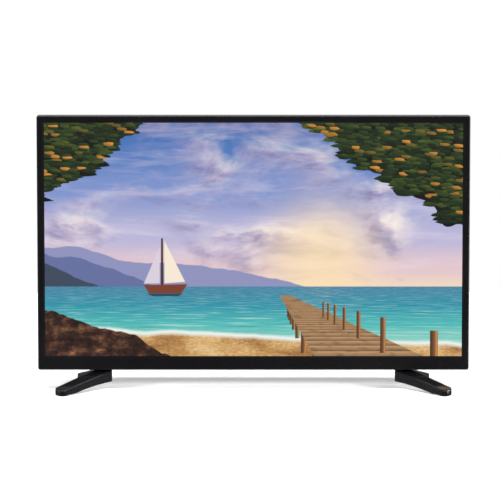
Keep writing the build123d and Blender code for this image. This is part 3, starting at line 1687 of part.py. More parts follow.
def receiver_lead(end_x):
    """From the receiver's board back under the tray and up in front of the speaker to the key board."""
    x = receiver_lead_x()
    z = bottom_z + receiver_lift
    y = pan_back_y + 2 * lead_radius
    lower = floor_bottom_z - lead_step / 2
    entry_z = key_z - key_board_height / 2 + 2 * key_boss_inset
    points = [(x, ledge_back_y, z), (x, rim_back_y, z)]
    points += [(x + lead_radius, rim_back_y + lead_step / 2, z + lead_step), (x + 2 * lead_radius, y, lower)]
    points += [(x + 3 * lead_radius, y, box_top_z() + lead_step / 2)]
    points += [(end_x - lead_step, key_y, entry_z), (end_x, key_y, entry_z)]
    return lead(points, lead_radius)


def box_top_z():
    """Top of the speaker boxes."""
    return speaker_bottom_z + speaker_height


def clip(x, z, half_height, lead_y, thickness):
    """A closed saddle on the tray around leads of a given half thickness."""
    half = half_height + clip_gap
    top = lead_y + thickness + clip_gap
    reach = half + clip_wall
    saddle = block(x - clip_width / 2, x + clip_width / 2, pan_back_y, top + clip_wall, z - reach, z + reach)
    tunnel = block(x - clip_width, x + clip_width, lead_y - thickness - clip_gap, top, z - half, z + half)
    return saddle - tunnel


def cable_clips():
    """Saddles for the harness and for the two long leads."""
    half = (wire_count - 1) * wire_pitch / 2 + wire_radius
    clips = [clip(0, harness_z(), half, pan_back_y + harness_clear, wire_radius)]
    for z in (speaker_lead_z() + fit_gap, key_lead_z() + fit_gap):
        for share in clip_shares:
            clips.append(clip(share * board_outer_x, z, lead_radius, pan_back_y + lead_clear, lead_radius))
    return group(clips)


pieces = {
    "front_frame": front_frame(),
    "panel_gasket": panel_gasket(),
    "front_polariser": front_polariser(),
    "lcd_glass": lcd_glass(),
    "rear_polariser": rear_polariser(),
    "mid_frame": mid_frame(),
    "optical_films": optical_films(),
    "diffuser_plate": diffuser_plate(),
    "backlight_pan": backlight_pan(),
    "reflector_sheet": reflector_sheet(),
    "led_bars": led_bars(),
    "led_lenses": led_lenses(),
    "diffuser_posts": diffuser_posts(),
    "source_boards": source_boards(),
    "panel_flexes": panel_flexes(),
    "panel_cables": panel_cables(),
    "timing_board": timing_board(),
    "rear_cover": rear_cover(),
    "main_board": main_board(),
    "main_board_chips": main_board_chips(),
    "chip_heat_sink": chip_heat_sink(),
    "hdmi_sockets": hdmi_sockets(),
    "usb_sockets": usb_sockets(),
    "aerial_socket": aerial_socket(),
    "av_jacks": av_jacks(),
    "headphone_jack": headphone_jack(),
    "lan_socket": lan_socket(),
    "power_board": power_board(),
    "power_components": power_components(),
    "power_heat_sinks": power_heat_sinks(),
    "mains_inlet": mains_inlet(),
    "inlet_pins": inlet_pins(),
    "vesa_posts": vesa_posts(),
    "key_switches": key_switches(),
    "key_board": key_board(),
    "speaker_boxes": speaker_boxes(),
    "speaker_baskets": speaker_baskets(),
    "speaker_cone_left": speaker_cone(-1),
    "speaker_cone_right": speaker_cone(1),
    "speaker_surround_left": speaker_surround(-1),
    "speaker_surround_right": speaker_surround(1),
    "left_foot": foot(-1),
    "right_foot": foot(1),
    "foot_pads": foot_pads(),
    "foot_brackets": foot_brackets(),
    "foot_screws": foot_screws(),
    "cover_screws": cover_screws(),
    "board_screws": board_screws(),
    "frame_screws": frame_screws(),
    "front_lenses": front_lenses(),
    "receiver_board": receiver_board(),
    "wiring_leads": wiring_leads(),
    "cable_clips": cable_clips(),
}
for name, z in zip(key_names, key_heights()):
    pieces["key_" + name] = key(z)

for name, piece in pieces.items():
    export_step(piece, f"parts/{name}.step")
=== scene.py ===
"""Dresses the flat screen set: its finishes, the lit picture, the floor, the lamps and the camera."""
import math

import bpy
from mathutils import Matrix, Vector

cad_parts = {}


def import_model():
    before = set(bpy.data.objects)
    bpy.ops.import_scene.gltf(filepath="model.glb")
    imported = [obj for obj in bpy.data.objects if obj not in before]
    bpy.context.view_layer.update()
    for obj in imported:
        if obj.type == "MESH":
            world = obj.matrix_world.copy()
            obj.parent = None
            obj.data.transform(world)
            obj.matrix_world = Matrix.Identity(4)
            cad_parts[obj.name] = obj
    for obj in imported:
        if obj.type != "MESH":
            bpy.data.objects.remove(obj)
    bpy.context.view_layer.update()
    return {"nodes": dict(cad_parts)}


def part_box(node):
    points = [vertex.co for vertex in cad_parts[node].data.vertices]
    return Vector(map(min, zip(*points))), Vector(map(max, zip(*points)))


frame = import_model()
nodes = frame["nodes"]

MM = 0.001
OBJECT = 3  # the output of Texture Coordinate that gives Object coordinates


def linear(code):
    """A colour written as sRGB hex, turned into the linear values that a shader takes."""
    parts = [int(code[i:i + 2], 16) / 255 for i in (1, 3, 5)]
    return [c / 12.92 if c <= 0.04045 else ((c + 0.055) / 1.055) ** 2.4 for c in parts] + [1.0]


def add(tree, kind, *inputs, at=None, out=0, **settings):
    """Adds one node with its settings, sets or links its inputs, and returns the chosen output."""
    node = tree.nodes.new("ShaderNode" + kind)
    for name, value in settings.items():
        setattr(node, name, value)
    for key, value in [*enumerate(inputs), *(at or {}).items()]:
        if isinstance(value, bpy.types.NodeSocket):
            tree.links.new(value, node.inputs[key])
        else:
            node.inputs[key].default_value = value
    return node.outputs[out] if node.outputs else node


def finish_tree(name):
    """A new material and its empty node tree."""
    material = bpy.data.materials.new(name)
    material.use_nodes = True
    material.node_tree.nodes.clear()
    return material, material.node_tree


def ramp(tree, factor, stops, interpolation="LINEAR"):
    """Colours along a factor, given as pairs of place and hex colour."""
    colour = add(tree, "ValToRGB", factor)
    band = colour.node.color_ramp
    band.interpolation = interpolation
    while len(band.elements) < len(stops):
        band.elements.new(0.5)
    for element, (place, code) in zip(band.elements, stops):
        element.position = place
        element.color = linear(code)
    return colour


def lay(tree, below, above, cover):
    """One colour laid over another where cover is 1; 6, 7 and 2 are a Mix node's colour sockets."""
    return add(tree, "Mix", cover, at={6: below, 7: above}, out=2, data_type="RGBA")


def surface(tree, sockets):
    """Ends a material's tree with one shader that takes these sockets."""
    add(tree, "OutputMaterial", add(tree, "BsdfPrincipled", at=sockets))


def object_place(tree, stretch=(1, 1, 1)):
    """Object coordinates, stretched along their axes."""
    raw = add(tree, "TexCoord", out=OBJECT)
    return add(tree, "Mapping", raw, at={"Scale": stretch})


def grain(tree, size, detail=3.0, roughness=0.5, stretch=(1, 1, 1)):
    """Soft noise from 0 to 1 whose lumps, half a period each, are about size metres across."""
    place = object_place(tree, stretch)
    return add(tree, "TexNoise", at={"Vector": place, "Scale": 0.5 / size, "Detail": detail,
                                     "Roughness": roughness})


# Finishes
def plastic(name, dark, light, roughness, grain_size, grain_depth, ior=1.53):
    """Moulded plastic: a colour that varies a little in broad clouds, and a fine moulded grain."""
    material, tree = finish_tree(name)
    colour = ramp(tree, grain(tree, 60 * MM, 2.0), [(0.35, dark), (0.65, light)])
    wear = grain(tree, 9 * MM, 4.0)
    low, high = roughness
    surface(tree, {
        "Base Color": colour, "IOR": ior,
        "Roughness": add(tree, "MapRange", at={"Value": wear, "To Min": low, "To Max": high}),
        "Normal": add(tree, "Bump", at={"Height": grain(tree, grain_size, 2.0), "Distance": grain_depth})})
    return material


def metal(name, dark, light, roughness, mark_size, stretch=(1, 1, 1)):
    """Bare or plated metal: a tint that drifts between two greys, and fine marks of rolling or plating."""
    material, tree = finish_tree(name)
    marks = grain(tree, mark_size, 4.0, 0.6, stretch)
    colour = ramp(tree, grain(tree, 12 * MM), [(0.3, dark), (0.7, light)])
    low, high = roughness
    surface(tree, {
        "Base Color": colour, "Metallic": 1.0,
        "Roughness": add(tree, "MapRange", at={"Value": marks, "To Min": low, "To Max": high}),
        "Normal": add(tree, "Bump", at={"Height": marks, "Distance": 0.01 * MM})})
    return material


def gloss_black_abs():
    """High-gloss black ABS from a polished tool: a deep black with sharp, slightly rippled reflections."""
    return plastic("gloss_black_abs", "#08080A", "#0C0C0E", (0.05, 0.10), 5 * MM, 0.004 * MM)


def textured_black_abs():
    """Black ABS from a spark-eroded tool: a fine, even grain that breaks reflections into a soft sheen."""
    return plastic("textured_black_abs", "#151517", "#1B1B1D", (0.5, 0.62), 0.7 * MM, 0.12 * MM)


def galvanised_sheet():
    """Hot-dip galvanised steel sheet: pale grey with the flat crystals of the zinc, each of its own tone."""
    material, tree = finish_tree("galvanised_sheet")
    crystal = 9 * MM
    spangle = add(tree, "TexVoronoi", at={"Vector": object_place(tree), "Scale": 1 / crystal}, out=1)
    tone = add(tree, "SeparateColor", spangle)
    surface(tree, {
        "Base Color": ramp(tree, tone, [(0.0, "#8E9396"), (0.5, "#A4A8AA"), (1.0, "#B8BBBC")]),
        "Metallic": 1.0,
        "Roughness": add(tree, "MapRange", at={"Value": tone, "To Min": 0.28, "To Max": 0.46}),
        "Normal": add(tree, "Bump", at={"Height": grain(tree, 0.8 * MM), "Distance": 0.01 * MM})})
    return material


def circuit_board(name, lacquer, track, hole):
    """Lacquered board: raised copper tracks under the lacquer and patches of small plated holes.

    The tracks are where the distance to the nearest cell's point, folded back and forth, is large. The holes
    are the middles of small cells, where a coarse noise is high.
    """
    material, tree = finish_tree(name)
    track_pitch, hole_pitch, patch = 5 * MM, 2.54 * MM, 9 * MM
    place = object_place(tree, (1, 0, 1))
    cells = add(tree, "TexVoronoi", at={"Vector": place, "Scale": 1 / track_pitch}, distance="CHEBYCHEV")
    rings = add(tree, "Math", cells, 7.0, operation="MULTIPLY")
    folded = add(tree, "Math", rings, 1.0, operation="PINGPONG")
    lines = add(tree, "Math", folded, 0.42, operation="GREATER_THAN")
    dots = add(tree, "TexVoronoi", at={"Vector": place, "Scale": 1 / hole_pitch, "Randomness": 0.15})
    small = add(tree, "Math", dots, 0.2, operation="LESS_THAN")
    here = add(tree, "Math", grain(tree, patch, 1.0), 0.53, operation="GREATER_THAN")
    plated = add(tree, "Math", small, here, operation="MULTIPLY")
    colour = lay(tree, linear(lacquer), linear(track), lines)
    surface(tree, {
        "Base Color": lay(tree, colour, linear(hole), plated), "Metallic": plated,
        "Roughness": add(tree, "MapRange", at={"Value": lines, "To Min": 0.34, "To Max": 0.26}),
        "Normal": add(tree, "Bump", at={"Height": lines, "Distance": 0.03 * MM})})
    return material


def striped_film(name, base, stripe, pitch, axis):
    """Flat cable or film link: parallel conductors that show through the insulation."""
    material, tree = finish_tree(name)
    along = add(tree, "SeparateXYZ", add(tree, "TexCoord", out=OBJECT), out=axis)
    turns = add(tree, "Math", add(tree, "Math", along, 1 / pitch, operation="MULTIPLY"), operation="FRACT")
    lines = add(tree, "Math", turns, 0.5, operation="GREATER_THAN")
    surface(tree, {
        "Base Color": lay(tree, linear(base), linear(stripe), lines), "Roughness": 0.35,
        "Normal": add(tree, "Bump", at={"Height": lines, "Distance": 0.02 * MM})})
    return material


def banded_by_place(name, axis, start, span, stops, roughness):
    """Plastic in steps of colour along one axis, from start over span, for rows of coloured parts."""
    material, tree = finish_tree(name)
    along = add(tree, "SeparateXYZ", add(tree, "TexCoord", out=OBJECT), out=axis)
    share = add(tree, "MapRange", at={"Value": along, "From Min": start, "From Max": start + span})
    fine = grain(tree, 0.8 * MM, 2.0)
    surface(tree, {
        "Base Color": ramp(tree, share, stops, "CONSTANT"), "Roughness": roughness,
        "Normal": add(tree, "Bump", at={"Height": fine, "Distance": 0.01 * MM})})
    return material


# The lit picture: an evening bay, drawn by the material of the screen's front film
# Places on it are shares of its height, from its lower left corner
film_low, film_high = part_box("front_polariser")
hidden_side, hidden_top, hidden_bottom = 5.0 * MM, 4.5 * MM, 8.5 * MM  # what the bezel covers of the film
lit_left = film_low.x + hidden_side
lit_bottom = film_low.z + hidden_bottom
lit_width = film_high.x - hidden_side - lit_left
lit_height = film_high.z - hidden_top - lit_bottom
horizon = 0.30
sun = (1.18, 0.40)
fine_edge = 0.0015


def mask(tree, value, soft):
    """1 where value is above 0, 0 where it is below, with an edge soft wide."""
    return add(tree, "MapRange", at={"Value": value, "From Min": -soft, "From Max": soft})


def polygon(tree, place, corners):
    """Cover of a convex outline: the least distance inside its edges, corners given anticlockwise."""
    inside = None
    for (x0, z0), (x1, z1) in zip(corners, corners[1:] + corners[:1]):
        length = math.hypot(x1 - x0, z1 - z0)
        normal = ((z0 - z1) / length, 0.0, (x1 - x0) / length)
        reach = add(tree, "VectorMath", place, normal, out=1, operation="DOT_PRODUCT")
        offset = x0 * normal[0] + z0 * normal[2]
        distance = add(tree, "Math", reach, offset, operation="SUBTRACT")
        inside = distance if inside is None else add(tree, "Math", inside, distance, operation="MINIMUM")
    return mask(tree, inside, fine_edge)


def noise_at(tree, place, scale, detail, stretch=(1, 1, 1), shift=(0, 0, 0), roughness=0.5, bend=0.0):
    """Noise on the picture's own places."""
    moved = add(tree, "Mapping", place, at={"Location": shift, "Scale": stretch})
    return add(tree, "TexNoise", at={"Vector": moved, "Scale": scale, "Detail": detail,
                                     "Roughness": roughness, "Distortion": bend})


def skyline(tree, u, v, base, slope, lumps, scale, shift, soft=0.002):
    """Cover below a ridge: a sloping line with noise lumps on it."""
    flat = add(tree, "CombineXYZ", u, shift, 0.0)
    lump = add(tree, "TexNoise", at={"Vector": flat, "Scale": scale, "Detail": 5.0, "Roughness": 0.45})
    height = add(tree, "Math", lump, lumps, base - lumps / 2, operation="MULTIPLY_ADD")
    height = add(tree, "Math", u, slope, height, operation="MULTIPLY_ADD")
    return mask(tree, add(tree, "Math", height, v, operation="SUBTRACT"), soft)


def sky(tree, place, v):
    """Blue above, lavender and peach near the horizon, with lit cloud banks and a low glow."""
    colour = ramp(tree, v, [(0.28, "#F2D9BE"), (0.38, "#E2C6CC"), (0.52, "#B9B6D8"), (0.72, "#7E93CB"),
                            (0.88, "#4F78BB"), (1.0, "#3A66AC")], "EASE")
    billow = {"scale": 1.9, "detail": 9.0, "stretch": (1.0, 1.0, 2.3), "roughness": 0.56, "bend": 0.35}
    body = noise_at(tree, place, shift=(2.3, 0.4, 5.1), **billow)
    lit = noise_at(tree, place, shift=(2.26, 0.4, 5.02), **billow)  # the same clouds, taken a little lower
    bank = add(tree, "MapRange", at={"Value": body, "From Min": 0.46, "From Max": 0.66},
               interpolation_type="SMOOTHSTEP")
    shade = add(tree, "Math", lit, body, operation="SUBTRACT")
    shade = add(tree, "Math", shade, 7.0, 0.55, operation="MULTIPLY_ADD", use_clamp=True)
    cloud = ramp(tree, shade, [(0.0, "#8C86AE"), (0.45, "#C3B4CB"), (0.75, "#EBDCDD"), (1.0, "#FFF4E8")])
    colour = lay(tree, colour, cloud, add(tree, "Math", bank, 0.9, operation="MULTIPLY"))
    wisps = noise_at(tree, place, 3.0, 8.0, (0.7, 1.0, 4.5), (7.7, 1.2, 3.0), 0.6, 0.6)
    thin = add(tree, "MapRange", at={"Value": wisps, "From Min": 0.5, "From Max": 0.8, "To Max": 0.55})
    colour = lay(tree, colour, linear("#E9DDEA"), thin)
    away = add(tree, "VectorMath", place, (sun[0], 0.0, sun[1]), out=1, operation="DISTANCE")
    glow = add(tree, "MapRange", at={"Value": away, "From Min": 0.42, "From Max": 0.0, "To Max": 0.75},
               interpolation_type="SMOOTHERSTEP")
    return lay(tree, colour, linear("#FFE3B0"), glow)


def sea(tree, u, v):
    """Water from deep teal at the horizon to clear turquoise at the shore, with flattened ripples."""
    colour = ramp(tree, v, [(0.06, "#8FD3C4"), (0.14, "#4FB9B6"), (0.22, "#2E93A8"), (0.30, "#3C7FA0")])
    gap = add(tree, "Math", horizon + 0.02, v, operation="SUBTRACT")
    row = add(tree, "Math", 0.16, gap, operation="DIVIDE")
    across = add(tree, "Math", u, row, operation="MULTIPLY")
    water = add(tree, "CombineXYZ", across, 0.0, add(tree, "Math", row, 5.0, operation="MULTIPLY"))
    ripple = add(tree, "TexNoise", at={"Vector": water, "Scale": 5.0, "Detail": 5.0, "Roughness": 0.6})
    crest = add(tree, "MapRange", at={"Value": ripple, "From Min": 0.52, "From Max": 0.72, "To Max": 0.6})
    trough = add(tree, "MapRange", at={"Value": ripple, "From Min": 0.46, "From Max": 0.3, "To Max": 0.5})
    colour = lay(tree, colour, linear("#1E6C86"), trough)
    colour = lay(tree, colour, linear("#D9F0EA"), crest)
    side = add(tree, "Math", u, sun[0], operation="SUBTRACT")
    near = add(tree, "MapRange", at={"Value": add(tree, "Math", side, operation="ABSOLUTE"),
                                     "From Min": 0.16, "From Max": 0.0})
    spark = add(tree, "Math", near, crest, operation="MULTIPLY")
    return lay(tree, colour, linear("#FFE9C4"), spark)


def shore(tree, place):
    """Golden sand with ripples in its light and shade."""
    fine = noise_at(tree, place, 60.0, 4.0, (1.0, 1.0, 2.5))
    broad = noise_at(tree, place, 5.0, 4.0, (1.0, 1.0, 3.0), (1.0, 0.0, 0.0), 0.55)
    blend = add(tree, "Math", fine, 0.35, add(tree, "Math", broad, 0.65, operation="MULTIPLY"),
                operation="MULTIPLY_ADD")
    return ramp(tree, blend, [(0.34, "#8A6238"), (0.46, "#B98A52"), (0.56, "#D6AE74"), (0.68, "#EBCF9C")])


def jetty(tree, place, u, v, colour):
    """A wooden jetty that runs out from the lower right: posts behind, planks, posts in front."""
    near_left, near_right, far_right, far_left = (1.16, -0.02), (1.66, -0.02), (1.045, 0.262), (1.0, 0.262)
    shares = [1 - 1 / (1 + 0.55 * i) for i in range(7)]

    def posts(start, end, colour):
        for share in reversed(shares):
            x = start[0] + share * (end[0] - start[0])
            z = start[1] + share * (end[1] - start[1])
            size = 1 - 0.93 * share
            half, high, deep = 0.017 * size, 0.13 * size, 0.10 * size
            outline = [(x - half, z - deep), (x + half, z - deep), (x + half, z + high), (x - half, z + high)]
            tone = add(tree, "MapRange", at={"Value": u, "From Min": x - half, "From Max": x + half})
            wood = ramp(tree, tone, [(0.0, "#3A2418"), (0.55, "#7A5233"), (0.85, "#C58A52"),
                                     (1.0, "#8A5A34")])
            colour = lay(tree, colour, wood, polygon(tree, place, outline))
        return colour

    colour = posts(near_left, far_left, colour)
    gap = add(tree, "Math", horizon + 0.012, v, operation="SUBTRACT")
    row = add(tree, "Math", 1.0, gap, operation="DIVIDE")
    plank = add(tree, "Math", add(tree, "Math", row, 3.2, operation="MULTIPLY"), operation="FRACT")
    wood = ramp(tree, plank, [(0.0, "#3B281D"), (0.12, "#8D6A4B"), (0.6, "#A98560"), (0.95, "#C09A70")])
    streak = noise_at(tree, place, 30.0, 5.0, (0.6, 1.0, 3.0))
    wood = lay(tree, wood, linear("#5A3F2B"), add(tree, "MapRange", at={"Value": streak, "From Min": 0.5,
                                                                        "From Max": 0.75, "To Max": 0.7}))
    side = [near_left, near_right, far_right, far_left]
    thick = 0.035
    edge = [(near_left[0], near_left[1] - thick), near_left, far_left, (far_left[0], far_left[1] - 0.002)]
    colour = lay(tree, colour, linear("#3A271B"), polygon(tree, place, edge[::-1]))
    colour = lay(tree, colour, wood, polygon(tree, place, side))
    return posts(near_right, far_right, colour)


def sailing_boat(tree, place, colour):
    """A small boat on the water with two pale sails."""
    x, z = 0.50, 0.292
    parts = [
        ([(-0.006, 0.0), (0.006, 0.0), (0.004, 0.215), (-0.004, 0.215)], "#4A3222"),
        ([(0.010, 0.022), (0.098, 0.028), (0.010, 0.205)], "#F6E8D4"),
        ([(-0.078, 0.020), (-0.010, 0.022), (-0.010, 0.178)], "#D9CFDD"),
        ([(-0.078, 0.014), (-0.056, -0.022), (0.082, -0.022), (0.108, 0.018)], "#7C3F2B"),
        ([(-0.066, -0.022), (-0.040, -0.034), (0.070, -0.034), (0.088, -0.022)], "#27485A"),
    ]
    for corners, code in parts:
        outline = [(x + dx, z + dz) for dx, dz in corners]
        colour = lay(tree, colour, linear(code), polygon(tree, place, outline))
    return colour


def above_rim(tree, place):
    """1 where a place is above a lumpy line that sags towards both upper corners."""
    middle, near, far = 0.80, 0.15, 0.90
    high, low, lumps = 0.90, 0.42, 0.42
    u = add(tree, "SeparateXYZ", place)
    away = add(tree, "Math", add(tree, "Math", u, middle, operation="SUBTRACT"), operation="ABSOLUTE")
    line = add(tree, "MapRange", at={"Value": away, "From Min": near, "From Max": far, "To Min": high,
                                     "To Max": low})
    lump = add(tree, "TexNoise", at={"Vector": place, "Scale": 4.5, "Detail": 2.0})
    line = add(tree, "Math", lump, lumps, line, operation="MULTIPLY_ADD")
    return add(tree, "Math", u.node.outputs[1], line, operation="GREATER_THAN")


def leaf_layer(tree, flat, colour, scale, angle, shift, codes):
    """Pointed leaves laid over a colour, one in each cell of a turned and flattened Voronoi pattern.

    With (x, y) measured from the cell's own point, the leaf is where width * (1 - (x / length)^2) > |y|.
    It is drawn only if that point, turned back to the picture's places, is above the rim.
    """
    length, width, edge = 0.60 / scale, 0.42 / scale, 0.05 / scale
    turned = {"Location": shift, "Rotation": (0.0, 0.0, angle), "Scale": (1.0, 3.0, 1.0)}
    moved = add(tree, "Mapping", flat, at=turned)
    point = add(tree, "TexVoronoi", at={"Vector": moved, "Scale": scale}, out=2, voronoi_dimensions="2D")
    x = add(tree, "SeparateXYZ", add(tree, "VectorMath", moved, point, operation="SUBTRACT"))
    y = x.node.outputs[1]
    share = add(tree, "Math", x, 1 / length, operation="MULTIPLY")
    square = add(tree, "Math", share, share, operation="MULTIPLY")
    half = add(tree, "Math", square, -width, width, operation="MULTIPLY_ADD")
    inside = add(tree, "Math", half, add(tree, "Math", y, operation="ABSOLUTE"), operation="SUBTRACT")
    stem = add(tree, "Mapping", point, at=turned, vector_type="TEXTURE")
    here = above_rim(tree, stem)
    cover = add(tree, "Math", mask(tree, inside, edge), here, operation="MULTIPLY")
    tone = add(tree, "SeparateColor", point.node.outputs[1])
    leaf = ramp(tree, tone, list(zip((0.0, 0.40, 0.80, 1.0), codes)))
    side = add(tree, "MapRange", at={"Value": y, "From Min": -width, "From Max": width, "To Min": 0.55,
                                     "To Max": 1.3})
    leaf = add(tree, "VectorMath", leaf, at={3: side}, operation="SCALE")
    return lay(tree, colour, leaf, cover)


def foliage(tree, flat, colour):
    """Boughs in both upper corners: dark leaves behind, greener ones before, a few lit by low sun."""
    dark = ("#0A100A", "#10190D", "#172312", "#1E2D16")
    green = ("#101A0D", "#1F2F16", "#2F441D", "#4A5A24")
    warm = ("#18220F", "#26371A", "#43501F", "#D08A38")
    colour = lay(tree, colour, linear("#0B110A"), above_rim(tree, flat))
    layers = ((9.0, 0.5, dark), (12.0, -0.5, green), (16.0, 0.1, green), (21.0, 0.8, warm))
    for scale, angle, codes in layers:
        colour = leaf_layer(tree, flat, colour, scale, angle, (3.0, scale, 0.0), codes)
    return colour


def picture(tree):
    """The whole picture, from the back to the front, as one colour."""
    scale = 1 / lit_height
    raw = add(tree, "TexCoord", out=OBJECT)
    place = add(tree, "Mapping", raw, at={"Location": (-lit_left * scale, 0.0, -lit_bottom * scale),
                                          "Scale": (scale, 0.0, scale)})
    u = add(tree, "SeparateXYZ", place)
    v = u.node.outputs[2]
    colour = sky(tree, place, v)
    hills = ((0.47, -0.14, 0.16, 2.2, 1.3, "#8F93BD"), (0.46, -0.30, 0.14, 3.1, 4.7, "#66709F"),
             (0.40, -0.42, 0.10, 4.6, 8.2, "#3E4A5E"))
    for base, slope, lumps, size, shift, code in hills:
        colour = lay(tree, colour, linear(code), skyline(tree, u, v, base, slope, lumps, size, shift))
    water = mask(tree, add(tree, "Math", horizon, v, operation="SUBTRACT"), fine_edge)
    colour = lay(tree, colour, sea(tree, u, v), water)
    foam = skyline(tree, u, v, 0.135, -0.045, 0.05, 3.3, 2.0, 0.006)
    colour = lay(tree, colour, linear("#E8F1EA"), foam)
    sand = skyline(tree, u, v, 0.118, -0.045, 0.05, 3.3, 2.0, 0.008)
    colour = lay(tree, colour, shore(tree, place), sand)
    colour = sailing_boat(tree, place, colour)
    colour = jetty(tree, place, u, v, colour)
    rocks = skyline(tree, u, v, 0.20, -0.34, 0.13, 5.5, 6.1)
    stone = ramp(tree, noise_at(tree, place, 14.0, 6.0, (1, 1, 1.6), (0, 0, 0), 0.65),
                 [(0.35, "#1A100D"), (0.5, "#3A251D"), (0.62, "#6E4A34"), (0.72, "#A9774C")])
    colour = lay(tree, colour, stone, rocks)
    flat = add(tree, "CombineXYZ", u, v, 0.0)
    return foliage(tree, flat, colour)


def lit_film():
    """Anti-glare polarising film over the lit panel: a faint satin sheen on a picture that glows."""
    material, tree = finish_tree("lit_film")
    raw = add(tree, "TexCoord", out=OBJECT)
    centre = Vector((lit_left + lit_width / 2, 0.0, lit_bottom + lit_height / 2))
    x = add(tree, "SeparateXYZ", add(tree, "VectorMath", raw, centre, operation="SUBTRACT"))
    limits = []
    for socket, half in ((x, lit_width / 2), (x.node.outputs[2], lit_height / 2)):
        away = add(tree, "Math", socket, operation="ABSOLUTE")
        limits.append(add(tree, "Math", away, half, operation="LESS_THAN"))
    inside = add(tree, "Math", *limits, operation="MULTIPLY")
    light = lay(tree, (0, 0, 0, 1), picture(tree), inside)
    fine = grain(tree, 0.6 * MM, 1.0)
    surface(tree, {
        "Base Color": linear("#050506"), "Roughness": 0.22, "IOR": 1.49,
        "Emission Color": light, "Emission Strength": 1.0,
        "Normal": add(tree, "Bump", at={"Height": fine, "Distance": 0.002 * MM})})
    return material


def smoked_window():
    """Smoked acrylic: a dark red window with a clear hard surface."""
    return plastic("smoked_window", "#1B0708", "#240A0B", (0.04, 0.07), 4 * MM, 0.002 * MM, 1.49)


key_names = [name for name in nodes if name.startswith("key_") and name not in ("key_switches", "key_board")]
jack_low, jack_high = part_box("av_jacks")
lead_low, lead_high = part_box("wiring_leads")
tall_low, tall_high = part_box("power_components")

